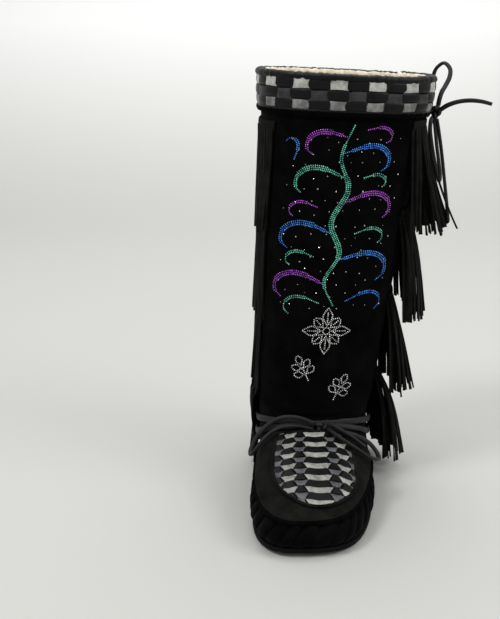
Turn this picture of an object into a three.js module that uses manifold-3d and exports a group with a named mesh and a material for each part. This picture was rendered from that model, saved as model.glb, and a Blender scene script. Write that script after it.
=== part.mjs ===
// A left mukluk boot: moccasin foot, tall leaning shaft, woven collar band and vamp, four tiers of fringe
// and leather ties. Millimetres, +Z up, toe towards -Y, outer side of the foot towards +X.
import * as THREE from "three";
import { mergeVertices } from "three/addons/utils/BufferGeometryUtils.js";
import Module from "manifold-3d";

const wasm = await Module();
wasm.setup();

// Driving sizes
const soleLength = 273;
const ballHalf = 57.5;
const heelHalf = 40;
const bootHeight = 385; // at the rim's edge, under its binding
const instepHeight = 67;
const throatReach = 148; // from the back of the heel to the front of the ankle
const collarHalf = 81;
const wall = 3;
const gap = 0.3;
const soleThick = 4.5;
const insoleThick = 4;
const heelCentre = 38; // the origin lies this far forward of the back of the heel
const leanAtCollar = 27; // the shaft leans outwards by this much
const bandFoot = 352.5; // height of the lower edge of the woven band

// Sections of the upper from the sole's edge to the rim. front and back are heights at the toe end and the
// heel end, toe and heel are distances forward of the back of the heel, and heelW, waistW and ballW are half
// widths. toeCorner and heelCorner square the outline, swing carries the toe inwards, skew carries the inner
// ball forwards, side is the lean, and tilt drops the outer side.
const sections = [
  { name: "feather", front: 8, back: 4.8, toe: soleLength - 4, heel: 3, heelW: heelHalf - 4, waistW: 45,
    ballW: ballHalf - 3.5, toeCorner: 3, heelCorner: 3.4, swing: 10.5, skew: 6, side: 0, tilt: 0 },
  { name: "belly", front: 14, back: 14, toe: soleLength + 1, heel: -1, heelW: heelHalf, waistW: 50,
    ballW: ballHalf + 0.5, toeCorner: 3, heelCorner: 3.4, swing: 10.5, skew: 6, side: 0, tilt: 0 },
  { name: "shoulder", front: 21, back: 30, toe: soleLength, heel: 0, heelW: heelHalf + 1, waistW: 52,
    ballW: ballHalf, toeCorner: 3, heelCorner: 3.2, swing: 10.5, skew: 6, side: 0, tilt: 0 },
  { name: "seam", front: 28, back: 44, toe: soleLength - 8, heel: 1, heelW: heelHalf + 3, waistW: 53,
    ballW: ballHalf - 4, toeCorner: 2.9, heelCorner: 3, swing: 10, skew: 5, side: 0, tilt: 0 },
  { name: "lowVamp", front: 36.5, back: 50, toe: soleLength - 25, heel: 2, heelW: heelHalf + 5.5, waistW: 53,
    ballW: ballHalf - 7, toeCorner: 2.7, heelCorner: 2.8, swing: 9, skew: 4, side: 0, tilt: 0 },
  { name: "midVamp", front: 49.5, back: 56, toe: 0.78 * soleLength, heel: 3, heelW: heelHalf + 8, waistW: 53,
    ballW: ballHalf - 8, toeCorner: 2.5, heelCorner: 2.7, swing: 6, skew: 2, side: 0, tilt: 0 },
  { name: "highVamp", front: 60.5, back: 62, toe: 0.65 * soleLength, heel: 3.5, heelW: heelHalf + 10.5,
    waistW: 53.5, ballW: ballHalf - 6, toeCorner: 2.4, heelCorner: 2.6, swing: 2, skew: 1, side: 0, tilt: 0 },
  { name: "throat", front: instepHeight, back: instepHeight, toe: throatReach, heel: 4, heelW: 52,
    waistW: 54, ballW: 53.5, toeCorner: 2.4, heelCorner: 2.5, swing: 0, skew: 0, side: 0, tilt: 0 },
  { name: "ankle", front: 92, back: 92, toe: throatReach - 4, heel: 5, heelW: 54.5, waistW: 56.5,
    ballW: 56, toeCorner: 2.45, heelCorner: 2.4, swing: 0, skew: 0, side: 2, tilt: 0 },
  { name: "calf", front: 205, back: 205, toe: throatReach - 9, heel: 2, heelW: 64.5, waistW: 66,
    ballW: 65.5, toeCorner: 2.5, heelCorner: 2.4, swing: 0, skew: 0, side: 12, tilt: 0.015 },
  { name: "underBand", front: bandFoot, back: bandFoot, toe: throatReach - 11, heel: -1, heelW: 74,
    waistW: 75.5, ballW: 75, toeCorner: 2.5, heelCorner: 2.4, swing: 0, skew: 0, side: 24.5, tilt: 0.035 },
  { name: "casing", front: bandFoot + 5.5, back: bandFoot + 5.5, toe: throatReach - 9, heel: -4, heelW: 77.5,
    waistW: 79, ballW: 78.5, toeCorner: 2.5, heelCorner: 2.4, swing: 0, skew: 0, side: 25.3, tilt: 0.04 },
  { name: "rim", front: bootHeight, back: bootHeight, toe: throatReach - 8, heel: -5, heelW: collarHalf - 1.5,
    waistW: collarHalf, ballW: collarHalf - 0.5, toeCorner: 2.5, heelCorner: 2.4, swing: 0, skew: 0,
    side: leanAtCollar, tilt: 0.05 },
];
const row = Object.fromEntries(sections.map((s, i) => [s.name, i]));
const rimLevel = sections.length - 1;

const clamp = THREE.MathUtils.clamp;
const mix = THREE.MathUtils.lerp;
const smooth = THREE.MathUtils.smoothstep;

// Slope of one column at a row, kept at zero where the column turns back
function columnSlope(key, i) {
  const before = sections[Math.max(i - 1, 0)][key];
  const here = sections[i][key];
  const after = sections[Math.min(i + 1, rimLevel)][key];
  if (i === 0) return after - here;
  if (i === rimLevel) return here - before;
  const a = here - before;
  const b = after - here;
  return a * b <= 0 ? 0 : (2 * a * b) / (a + b);
}

// One column at any level between the rows
function column(key, level) {
  const i = Math.min(Math.floor(level), rimLevel - 1);
  const s = level - i;
  const p0 = sections[i][key];
  const p1 = sections[i + 1][key];
  const m0 = columnSlope(key, i);
  const m1 = columnSlope(key, i + 1);
  const s2 = s * s;
  const s3 = s2 * s;
  return (2 * s3 - 3 * s2 + 1) * p0 + (s3 - 2 * s2 + s) * m0 + (3 * s2 - 2 * s3) * p1 + (s3 - s2) * m1;
}

// Height of the underside of the sole at a distance forward of the heel's back: flat under heel and ball,
// lifted a little at the waist and sprung up at the toe
const archRise = 1;
const toeSpring = 4;
function soleFoot(forward) {
  const arch = archRise * smooth(forward, 70, 99) * (1 - smooth(forward, 141, 170));
  const spring = toeSpring * Math.pow(clamp((forward - 218) / (soleLength - 218), 0, 1), 2);
  return arch + spring;
}

// Half width of a section's outline at s, which runs from 0 at the heel end to 1 at the toe end
function halfWidth(level, s) {
  const heelW = column("heelW", level);
  const waistW = column("waistW", level);
  const ballW = column("ballW", level);
  return mix(heelW, mix(waistW, ballW, smooth(s, 0.42, 0.66)), smooth(s, 0.14, 0.46));
}

// A point on the upper's outer face: angle 0 is the toe, a quarter turn is the outer side
function surface(angle, level) {
  const c = Math.cos(angle);
  const sn = Math.sin(angle);
  const corner = column(c > 0 ? "toeCorner" : "heelCorner", level);
  const along = Math.sign(c) * Math.pow(Math.abs(c), 2 / corner);
  const across = Math.sign(sn) * Math.pow(Math.abs(sn), 2 / corner);
  const s = (1 + along) / 2;
  const x = across * halfWidth(level, s);
  const forefoot = smooth(s, 0.4, 1);
  const reach = mix(column("heel", level), column("toe", level), s);
  const forward = reach - (column("skew", level) * forefoot * x) / ballHalf;
  const sideways = x - column("swing", level) * forefoot + column("side", level);
  const z = mix(column("back", level), column("front", level), Math.pow(s, 1.5)) - column("tilt", level) * x;
  return new THREE.Vector3(sideways, heelCentre - forward, z);
}

// The same point moved out from the upper's face by an offset
function skin(angle, level, offset) {
  const e = 0.002;
  const p = surface(angle, level);
  const up = surface(angle, Math.min(level + e, rimLevel)).sub(surface(angle, Math.max(level - e, 0)));
  const round = surface(angle + e, level).sub(surface(angle - e, level));
  return p.addScaledVector(round.cross(up).normalize(), offset);
}

// Level at which the back of the shaft has a height
function levelAt(height) {
  let low = 0;
  let high = rimLevel;
  for (let i = 0; i < 40; i++) {
    const middle = (low + high) / 2;
    if (column("back", middle) < height) low = middle;
    else high = middle;
  }
  return (low + high) / 2;
}

// Facets round each section: fine steps round the toe, where each pair of steps is one gather, and coarse
// steps round the rest
const gatherCount = 12;
const gatherReach = THREE.MathUtils.degToRad(78);
const restCount = 20;
const toeAngles = [...Array(2 * gatherCount + 1).keys()].map((i) =>
  mix(-gatherReach, gatherReach, i / (2 * gatherCount)),
);
const restAngles = [...Array(restCount - 1).keys()].map((i) =>
  mix(gatherReach, 2 * Math.PI - gatherReach, (i + 1) / restCount),
);
const angles = [...toeAngles, ...restAngles];
const coarseAngles = [...toeAngles.filter((a, i) => i % 2 === 0), ...restAngles];
const coarseGap = 0.9; // what a coarse ring needs to stay clear of the upper's facets

function geometryOf(points, triangles) {
  const g = new THREE.BufferGeometry();
  g.setAttribute("position", new THREE.Float32BufferAttribute(points.flatMap((p) => p.toArray()), 3));
  g.setIndex(triangles);
  return g;
}

// A closed geometry as a solid, turned outwards where its faces point in
function solidOf(geometry) {
  const plain = geometry.clone();
  plain.deleteAttribute("normal");
  plain.deleteAttribute("uv");
  const merged = mergeVertices(plain, 1e-4);
  const vertProperties = new Float32Array(merged.attributes.position.array);
  const triVerts = new Uint32Array(merged.index.array);
  const solid = new wasm.Manifold(new wasm.Mesh({ numProp: 3, vertProperties, triVerts }));
  if (solid.volume() > 0) return solid;
  const turned = triVerts.map((v, i) => triVerts[i % 3 === 0 ? i : i % 3 === 1 ? i + 1 : i - 1]);
  return new wasm.Manifold(new wasm.Mesh({ numProp: 3, vertProperties, triVerts: turned }));
}

function geometryFrom(solid) {
  const m = solid.getMesh();
  const g = new THREE.BufferGeometry();
  const count = m.vertProperties.length / m.numProp;
  const position = new Float32Array(count * 3);
  for (let i = 0; i < count; i++) {
    position.set(m.vertProperties.subarray(i * m.numProp, i * m.numProp + 3), i * 3);
  }
  g.setAttribute("position", new THREE.BufferAttribute(position, 3));
  g.setIndex(new THREE.BufferAttribute(new Uint32Array(m.triVerts), 1));
  g.computeVertexNormals();
  return g;
}

// A closed solid swept through rings of points, each ring with the same number of points. The sweep is closed
// on itself, or its two ends are capped.
function sweep(rings, closed = false) {
  const n = rings[0].length;
  const triangles = [];
  const last = closed ? rings.length : rings.length - 1;
  for (let r = 0; r < last; r++) {
    const next = (r + 1) % rings.length;
    for (let i = 0; i < n; i++) {
      const j = (i + 1) % n;
      triangles.push(r * n + i, r * n + j, next * n + j, r * n + i, next * n + j, next * n + i);
    }
  }
  if (!closed) {
    const end = (rings.length - 1) * n;
    for (let i = 1; i < n - 1; i++) triangles.push(0, i + 1, i, end, end + i, end + i + 1);
  }
  return solidOf(geometryOf(rings.flat(), triangles));
}

// The whole boot as one filled form, its face moved out by an offset
const formLevels = [0.5, 1, 1.5, 2, 2.5, 3, 3.5, 4, 5, 6, 7, 7.5, 8, 9, 10, 11, 12];
function filledForm(offset) {
  return sweep(formLevels.map((level) => angles.map((angle) => skin(angle, level, offset))));
}
const overlay = 1.8; // thickness of the apron's leather over the foot
const panelCloth = 1.2;
const forms = {
  near: filledForm(gap),
  apron: filledForm(gap + overlay),
  panel: filledForm(gap + panelCloth),
};

// A band that goes round the boot between two levels, between two offsets
function hoop(lowLevel, highLevel, inner, outer) {
  return sweep(
    coarseAngles.map((angle) => [
      skin(angle, lowLevel, inner),
      skin(angle, lowLevel, outer),
      skin(angle, highLevel, outer),
      skin(angle, highLevel, inner),
    ]),
    true,
  );
}

// A flat outline pushed up through the boot, across it, or back through it
function prismUp(outline, low, high) {
  const shape = new THREE.Shape(outline.map((p) => new THREE.Vector2(p.x, p.y)));
  const g = new THREE.ExtrudeGeometry(shape, { depth: high - low, bevelEnabled: false, steps: 1 });
  return solidOf(g.translate(0, 0, low));
}
function prismBack(outline, near, far) {
  const shape = new THREE.Shape(outline.map((p) => new THREE.Vector2(p.x, p.z)));
  const g = new THREE.ExtrudeGeometry(shape, { depth: far - near, bevelEnabled: false, steps: 1 });
  return solidOf(g.rotateX(Math.PI / 2).translate(0, far, 0));
}
const bootWide = 280; // more than the boot is wide anywhere
function prismAcross(outline) {
  const shape = new THREE.Shape(outline.map((p) => new THREE.Vector2(heelCentre - p.forward, p.z)));
  const g = new THREE.ExtrudeGeometry(shape, { depth: bootWide, bevelEnabled: false, steps: 1 });
  return solidOf(g.rotateX(Math.PI / 2).rotateZ(Math.PI / 2).translate(-bootWide / 2, 0, 0));
}

// Upper: one hollow wall, open at the rim and underneath, puckered under the seam round the toe
const outerLevels = [0, ...formLevels];
const innerLevels = [0, 1, 2, 3, 4, 5, 6, 7, 8, 10, 12];
// deep and proud are offsets, and low, full and high the levels where the gathers start, are deepest and end
const gather = { deep: 1.5, proud: 0.6, low: 0.6, full: 1.9, high: row.seam - 0.3 };
function gatherAt(index, level) {
  if (index > 2 * gatherCount) return 0;
  const fade = smooth(level, gather.low, gather.full) * (1 - smooth(level, gather.high, row.seam));
  const side = 1 - smooth(Math.abs(toeAngles[index]), 0.8 * gatherReach, gatherReach);
  return (index % 2 ? -gather.deep : gather.proud) * fade * side;
}
function makeUpper() {
  const outside = outerLevels.map((level) => angles.map((a, i) => skin(a, level, gatherAt(i, level))));
  const inside = innerLevels.map((level) => angles.map((a, i) => skin(a, level, gatherAt(i, level) - wall)));
  for (const p of [...outside[0], ...inside[0]]) p.z = soleFoot(heelCentre - p.y) + soleThick + gap;
  return sweep([...outside, ...inside.reverse()], true);
}

// The sole's outline as its inner and outer edge at a distance forward of the heel's back
const edgeSteps = 720;
const featherLine = [...Array(edgeSteps).keys()].map((i) => surface((i * 2 * Math.PI) / edgeSteps, 0));
function edgesAt(forward) {
  const found = [];
  featherLine.forEach((p, i) => {
    const q = featherLine[(i + 1) % edgeSteps];
    const a = heelCentre - p.y - forward;
    const b = heelCentre - q.y - forward;
    if (a * b <= 0 && a !== b) found.push(mix(p.x, q.x, a / (a - b)));
  });
  return { inner: Math.min(...found), outer: Math.max(...found) };
}

// A flat piece that follows the sole's outline, laid in stations from the heel to the toe
const stationCount = 24;
const soleEnds = { heel: 3, toe: soleLength - 4 };
function solePiece(outset, bottomAt, topAt, edgeDrop) {
  const rings = [];
  for (let i = 0; i <= stationCount; i++) {
    const share = (1 - Math.cos((Math.PI * (i + 0.35)) / (stationCount + 0.7))) / 2;
    const line = mix(soleEnds.heel, soleEnds.toe, share);
    const forward = mix(soleEnds.heel - outset, soleEnds.toe + outset, share);
    const { inner, outer } = edgesAt(line);
    const left = inner - outset;
    const right = outer + outset;
    const low = bottomAt(forward);
    const high = topAt(forward);
    const at = (x, z) => new THREE.Vector3(x, heelCentre - forward, z);
    const narrow = Math.min(edgeDrop, (right - left) / 4);
    rings.push([
      at(left + narrow, low),
      at(right - narrow, low),
      at(right, low + edgeDrop),
      at(right, high),
      at(left, high),
      at(left, low + edgeDrop),
    ]);
  }
  return sweep(rings);
}
const soleOutset = 1.6; // it shows this much beyond the upper's feather edge
const insoleInset = 4.2;
const soleTop = (forward) => soleFoot(forward) + soleThick;
const insoleFoot = (forward) => soleTop(forward) + gap;

// Apron: the piece on top of the foot, cut between two forms by its plan outline and by a line that leaves
// the ankle free
const apronBack = 120; // distance forward of the heel's back
const apronEdge = [ // the line that it stops at, seen from the side
  { forward: apronBack - 20, z: 22 },
  { forward: apronBack - 4, z: 44 },
  { forward: throatReach + 8, z: instepHeight - 7.5 },
];
const overBoot = { forward: soleLength + 40, low: 20, high: 200 }; // beyond the foot on every side
function makeApron() {
  const stop = heelCentre - apronBack;
  const seam = angles
    .map((angle) => surface(angle, row.seam + 0.1))
    .filter((p) => p.y < stop)
    .sort((a, b) => Math.atan2(a.x, stop - a.y) - Math.atan2(b.x, stop - b.y));
  const free = prismAcross([
    ...apronEdge,
    { forward: apronEdge.at(-1).forward, z: overBoot.high },
    { forward: overBoot.forward, z: overBoot.high },
    { forward: overBoot.forward, z: apronEdge[0].z },
  ]);
  const shell = forms.apron.subtract(forms.near);
  return shell.intersect(prismUp(seam, overBoot.low, overBoot.high)).intersect(free);
}

// Welt: the raised seam that runs round the apron
const weltReach = THREE.MathUtils.degToRad(96);
const weltSection = [ // levels from the seam, and offsets from the upper's face
  { level: -0.14, out: gap },
  { level: -0.16, out: 1.5 },
  { level: -0.04, out: 2.6 },
  { level: 0.05, out: 1.9 },
  { level: 0.05, out: gap },
];
function makeWelt() {
  const line = [
    ...angles.filter((a) => a >= 2 * Math.PI - weltReach).map((a) => a - 2 * Math.PI),
    ...angles.filter((a) => a <= weltReach),
  ];
  return sweep(line.map((angle) => weltSection.map((p) => skin(angle, row.seam + p.level, p.out))));
}

// Front panel: the cloth that carries the beadwork, from the ankle lace to the drawstring's casing
const panelTopHalf = 58.5;
const panelFootHalf = 53.5;
const panelFoot = 80;
const panelHead = bandFoot - 3;
const panelShift = 2; // its head lies this far inwards of the shaft's middle
function makePanel() {
  const middleAt = (z) => column("side", levelAt(z));
  const lift = panelTopHalf * sections[row.underBand].tilt;
  const outline = [
    { x: middleAt(panelFoot) - panelFootHalf, z: panelFoot },
    { x: middleAt(panelFoot) + panelFootHalf, z: panelFoot },
    { x: middleAt(panelHead) - panelShift + panelTopHalf, z: panelHead - lift },
    { x: middleAt(panelHead) - panelShift - panelTopHalf, z: panelHead + lift },
  ];
  const front = prismBack(outline, heelCentre - throatReach - 20, heelCentre - throatReach / 2);
  return forms.panel.subtract(forms.near).intersect(front);
}

// Woven inset on the apron: one wall with its checks raised. Each column is a strip that runs lengthwise and
// passes over and under the cross strips.
const weavePitch = 14;
const weaveFront = 250; // distances forward of the heel's back
const weaveCorner = 205;
const weaveBack = 160;
const weaveHalf = 38;
const weaveMiddle = -4;
const weaveRows = 6;
const weaveColumns = [
  { from: -38, to: -30.5, step: 0.5 },
  { from: -30.5, to: -18, step: 0 },
  { from: -18, to: -9, step: 0.5 },
  { from: -9, to: 12, step: 0 },
  { from: 12, to: 22, step: 0.5 },
  { from: 22, to: 33, step: 0 },
  { from: 33, to: 38, step: 0.5 },
];
const weaveThick = 1;
const weaveRaise = 1.1;
const wideColumn = { over: 15, raise: 0.4 }; // a wide strip bulges more
const checkInset = 0.6; // clear of its column's edges
const checkSink = 0.5; // into the wall below
const rimSteps = 16;
function weaveReach(x) {
  const share = clamp(Math.abs(x - weaveMiddle) / weaveHalf, 0, 1);
  return mix(weaveCorner, weaveFront, Math.sqrt(1 - share * share));
}
function dropper(form) {
  const caster = new THREE.Raycaster();
  const mesh = new THREE.Mesh(geometryFrom(form), new THREE.MeshBasicMaterial());
  const down = new THREE.Vector3(0, 0, -1);
  return (x, forward) => {
    caster.set(new THREE.Vector3(x, heelCentre - forward, overBoot.high), down);
    return caster.intersectObject(mesh)[0].point;
  };
}
function makeVampWeave() {
  const low = filledForm(gap + overlay + gap);
  const high = filledForm(gap + overlay + gap + weaveThick);
  const drop = dropper(high);
  const rim = [...Array(rimSteps + 1).keys()].map((i) => {
    const x = weaveMiddle + weaveHalf * Math.sin(mix(-Math.PI / 2, Math.PI / 2, i / rimSteps));
    return new THREE.Vector2(x, heelCentre - weaveReach(x));
  });
  rim.push(new THREE.Vector2(weaveMiddle + weaveHalf, heelCentre - weaveBack));
  rim.push(new THREE.Vector2(weaveMiddle - weaveHalf, heelCentre - weaveBack));
  const inset = high.subtract(low).intersect(prismUp(rim, overBoot.low, overBoot.high));
  const checks = [];
  for (const c of weaveColumns) {
    const raise = weaveRaise + (c.to - c.from > wideColumn.over ? wideColumn.raise : 0);
    for (let i = 0; i < weaveRows; i++) {
      const front = weaveFront - 3 - (i + c.step) * weavePitch;
      const edge = Math.min(weaveReach(weaveMiddle + c.from), weaveReach(weaveMiddle + c.to)) - 1;
      const near = Math.min(front + weavePitch / 4, edge);
      const far = front - weavePitch / 4;
      if (near - far < weavePitch / 5) continue;
      const corners = (lift) =>
        [
          [c.from + checkInset, near],
          [c.to - checkInset, near],
          [c.to - checkInset, far],
          [c.from + checkInset, far],
        ].map(([x, forward]) => drop(weaveMiddle + x, forward).add(new THREE.Vector3(0, 0, lift)));
      checks.push(block(corners(-checkSink), corners(raise)));
    }
  }
  return wasm.Manifold.union([inset, ...checks]);
}

// A block between two four-sided faces
function block(inner, outer) {
  const faces = [0, 1, 2, 0, 2, 3, 4, 6, 5, 4, 7, 6];
  for (let i = 0; i < 4; i++) {
    const j = (i + 1) % 4;
    faces.push(i, i + 4, j + 4, i, j + 4, j);
  }
  return solidOf(geometryOf([...inner, ...outer], faces));
}

// Collar band: one wall with the checks of its three woven strips raised
const bandLow = row.casing + 0.02;
const bandHigh = rimLevel - 0.02;
const bandThick = 2.5; // from the upper's face
const bandRaise = 1.1;
const checksRound = 14;
const checkShare = 0.53; // of its pitch that a check fills
const bandRows = [
  { from: 0.7, to: 0.98, step: 0 },
  { from: 0.37, to: 0.65, step: 0.5 },
  { from: 0.04, to: 0.32, step: 0 },
];
function makeBand() {
  const base = hoop(bandLow, bandHigh, coarseGap, bandThick);
  const pads = [];
  for (const r of bandRows) {
    for (let i = 0; i < checksRound; i++) {
      const middle = ((i + 0.35 + r.step) * 2 * Math.PI) / checksRound;
      const half = (checkShare * Math.PI) / checksRound;
      const corners = (offset) => [
        skin(middle - half, mix(bandLow, bandHigh, r.from), offset),
        skin(middle + half, mix(bandLow, bandHigh, r.from), offset),
        skin(middle + half, mix(bandLow, bandHigh, r.to), offset),
        skin(middle - half, mix(bandLow, bandHigh, r.to), offset),
      ];
      pads.push(block(corners(0.6 * bandThick), corners(bandThick + bandRaise)));
    }
  }
  return wasm.Manifold.union([base, ...pads]);
}

// Binding: folded over the rim and the top of the band
const bindingHigh = 4.5;
const bindingIn = wall + 0.5;
function makeBinding() {
  const lift = (p, z) => new THREE.Vector3(p.x, p.y, p.z + z);
  return sweep(
    coarseAngles.map((angle) => {
      const out = skin(angle, rimLevel, bandThick + 1);
      const inn = skin(angle, rimLevel, -bindingIn);
      return [lift(inn, gap), lift(out, gap), lift(out, 0.7 * bindingHigh), lift(inn, bindingHigh)];
    }),
    true,
  );
}

// Casing: the suede tube under the band that the drawstring runs in
const casingLow = row.underBand + 0.02;
const casingHigh = row.casing - 0.05;
const casingSection = [ // share of its height, and offset from the upper's face
  { share: 0, out: coarseGap },
  { share: 0.2, out: 3.2 },
  { share: 0.8, out: 3.6 },
  { share: 1, out: coarseGap },
];
function makeCasing() {
  const ring = (angle) => casingSection.map((p) => skin(angle, mix(casingLow, casingHigh, p.share), p.out));
  return sweep(coarseAngles.map(ring), true);
}

// Fringe: a heading sewn round the sides and back, with its strips hanging from it in one piece. swing is how
// far the outer strips hang out from the leaning shaft, and stand is how far the rest do.
const tiers = [
  { name: "fringe_tier_1", head: 348, length: 112, swing: 22, stand: 6, phase: 0 },
  { name: "fringe_tier_2", head: 268, length: 108, swing: 24, stand: 6, phase: 1 },
  { name: "fringe_tier_3", head: 188, length: 102, swing: 26, stand: 6, phase: 2 },
  { name: "fringe_tier_4", head: 112, length: 88, swing: 18, stand: 10, phase: 3 },
];
const headingHeight = 7;
const stripsEach = 16;
const stripShare = 0.84; // of its place that a strip fills
const stripThick = 1.4;
function panelAngle(height) {
  const half = mix(panelFootHalf, panelTopHalf, (height - panelFoot) / (panelHead - panelFoot));
  const level = levelAt(height);
  const share = Math.min(0.97, half / column("waistW", level));
  return Math.asin(Math.pow(share, column("toeCorner", level) / 2));
}

// The foot of a strip at an angle: out from its root by the flare, and never nearer the shaft than its lift
const stripLift = 6.5;
const flareMiddle = 0.45 * Math.PI; // where the strips swing out furthest
const flareSpread = 0.7;
function stripFoot(tier, angle, middle, wobble, depth) {
  const root = skin(angle, levelAt(tier.head - headingHeight), depth);
  const out = skin(angle, levelAt(tier.head - headingHeight), depth + 1).sub(root);
  out.z = 0;
  out.normalize();
  const outward = Math.exp(-Math.pow((middle - flareMiddle) / flareSpread, 2));
  const flare = tier.stand + tier.swing * (0.75 + 0.25 * wobble) * outward;
  const drop = tier.length * (1 + 0.04 * wobble) - headingHeight;
  const hang = root.clone().addScaledVector(out, flare).add(new THREE.Vector3(0, 0, -drop));
  if (hang.z < instepHeight) return hang;
  const lean = skin(angle, levelAt(hang.z), stripLift + depth).sub(hang);
  return hang.addScaledVector(out, Math.max(0, lean.dot(out)));
}
const panelClear = 0.06; // angle between the panel's edge and the first strip
function makeTier(tier) {
  const high = levelAt(tier.head);
  const low = levelAt(tier.head - headingHeight);
  const first = panelAngle(tier.head) + panelClear;
  const last = 2 * Math.PI - first;
  const rings = [];
  for (let i = 0; i < stripsEach; i++) {
    const wobble = Math.sin(12.9898 * (i + 1) + 4.1 * tier.phase);
    const from = mix(first, last, (i + 0.5 - stripShare / 2) / stripsEach);
    const to = mix(first, last, (i + 0.5 + stripShare / 2) / stripsEach);
    const middle = (from + to) / 2;
    for (const [angle, hangs] of [[from, 0], [from, 1], [to, 1], [to, 0]]) {
      const foot = (depth) =>
        hangs ? stripFoot(tier, mix(angle, middle, 0.1), middle, wobble, depth) : skin(angle, low, depth);
      rings.push([
        foot(coarseGap),
        foot(coarseGap + stripThick),
        skin(angle, high, coarseGap + stripThick),
        skin(angle, high, coarseGap),
      ]);
    }
  }
  return sweep(rings);
}

// Ankle lace: two turns that cross at the front and at the back, joined there. Each falls from the instep
// towards the heel.
const laceWide = 6;
const laceThick = 2;
const laceGap = 1.4;
const laceFront = { forward: throatReach, z: instepHeight + 4 };
const laceFall = { depth: 24, within: 45 };
const laceCross = 0.12; // one turn rises outwards as the other falls
function levelOnPlane(angle, heightAt) {
  let low = row.shoulder;
  let high = row.calf;
  for (let i = 0; i < 30; i++) {
    const middle = (low + high) / 2;
    const p = surface(angle, middle);
    if (p.z < heightAt(p)) low = middle;
    else high = middle;
  }
  return (low + high) / 2;
}
function makeAnkleLace() {
  const turns = [1, -1].map((way) => {
    const plane = (offset) => (p) => {
      const back = p.y - heelCentre + laceFront.forward;
      const fall = laceFall.depth * (1 - Math.exp(-back / laceFall.within));
      return laceFront.z + offset - fall + p.x * laceCross * way;
    };
    return sweep(
      coarseAngles.map((angle) => {
        const low = levelOnPlane(angle, plane(-laceWide / 2));
        const high = levelOnPlane(angle, plane(laceWide / 2));
        return [
          skin(angle, low, laceGap),
          skin(angle, low, laceGap + laceThick),
          skin(angle, high, laceGap + laceThick),
          skin(angle, high, laceGap),
        ];
      }),
      true,
    );
  });
  return turns[0].add(turns[1]);
}

// Knots, loops and ends of the two ties: leather cord through points chosen by hand
const cordThick = 4.4;
const cordSides = 8;
const cordStep = 2.9 * cordThick;
const knots = {
  ankle_knot: { centre: [4, -117.3, 71.8], radii: [6.5, 4.3, 4.3] },
  drawstring_knot: { centre: [111.2, -34, 351.5], radii: [4.4, 5.5, 6.5] },
};
const cords = {
  ankle_loop_inner: [
    [-3.8, -118, 75], [-10, -116.8, 77.4], [-18.5, -114, 78.8], [-28, -111, 78.2], [-36.5, -109.4, 75.4],
    [-44.5, -109, 70.2], [-52.5, -110, 62.5], [-58.4, -112.4, 54], [-61.5, -117.4, 47.2], [-61, -123.6, 46.2],
    [-57.6, -127.6, 51.4], [-51.6, -126, 59.6], [-43.4, -122.6, 67], [-32, -119.8, 71.6], [-18, -118.6, 72.2],
    [-9, -118.3, 70.6], [-3.5, -117.8, 69.2],
  ],
  ankle_loop_outer: [
    [10.6, -121.6, 70.4], [14.4, -129, 69.9], [20, -136, 68], [27, -141.6, 65], [37, -143, 58.4],
    [46.5, -138.5, 50.4], [54, -130.5, 44.5], [58, -122, 41.6], [57.5, -115.5, 43.5], [53, -114.5, 50],
    [47.5, -118, 56.5], [40, -123.5, 63], [30.5, -126.5, 68], [20.5, -124, 70],
    [12.4, -116.4, 70.6],
  ],
  ankle_end: [
    [10, -119.8, 75.3], [15, -124.6, 75.2], [20.5, -129.4, 73.4], [28, -133.2, 70], [36, -133.4, 64],
    [43.5, -129.6, 56.8],
  ],
  drawstring_loop_up: [
    [112.8, -37.8, 358.6], [113.8, -38, 365], [116.2, -35, 371], [120.5, -30, 377], [124.7, -25, 384.5],
    [125.5, -20, 391.5], [121, -14, 396.5], [115.2, -7, 391.5], [113, -1, 382], [111.8, 2, 371],
    [111, -2, 361.5], [110.8, -12, 355], [111, -24, 352.6], [111.2, -27.6, 352],
  ],
  drawstring_loop_down: [
    [111.2, -30.5, 344.4], [113.4, -25, 336], [116.8, -18, 320], [120.7, -12, 303], [123.8, -6, 289],
    [124.8, 2, 283], [123.2, 8.5, 289], [119.8, 8.5, 302], [115.8, 4, 318], [112.4, -3, 333],
    [111.2, -13, 343.5], [111.2, -23.5, 348],
  ],
  drawstring_end_out: [
    [114.8, -38.5, 354.8], [121.2, -43, 359.6], [130.2, -47.5, 363], [140.2, -51, 364.2], [149.2, -54, 363.5],
    [158.7, -56, 361.2],
  ],
  drawstring_end_down: [
    [112.4, -36.4, 345.9], [114.6, -40, 333], [117.6, -42.5, 314], [120.6, -44.5, 292], [123.6, -46, 270],
    [125.8, -47, 252],
  ],
};
function makeCord(points) {
  const curve = new THREE.CatmullRomCurve3(points.map((p) => new THREE.Vector3(...p)), false, "centripetal");
  const section = new THREE.Shape(
    [...Array(cordSides).keys()].map((i) => {
      const a = (i * 2 * Math.PI) / cordSides;
      return new THREE.Vector2((Math.cos(a) * cordThick) / 2, (Math.sin(a) * cordThick) / 2);
    }),
  );
  const steps = Math.ceil(curve.getLength() / cordStep);
  return solidOf(new THREE.ExtrudeGeometry(section, { steps, bevelEnabled: false, extrudePath: curve }));
}
function makeKnot({ centre, radii }) {
  return solidOf(new THREE.SphereGeometry(1, 8, 6).scale(...radii).translate(...centre));
}

const colours = {
  suede: 0x161617,
  cloth: 0x101011,
  rubber: 0x1c1b1a,
  strip: 0x9d9d98,
  felt: 0xd8d2c2,
};
function finish(colour, roughness) {
  return new THREE.MeshStandardMaterial({ color: colour, roughness, metalness: 0 });
}

const boot = new THREE.Group();
function place(name, solid, material) {
  const mesh = new THREE.Mesh(geometryFrom(solid), material);
  mesh.name = name;
  boot.add(mesh);
}

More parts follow.
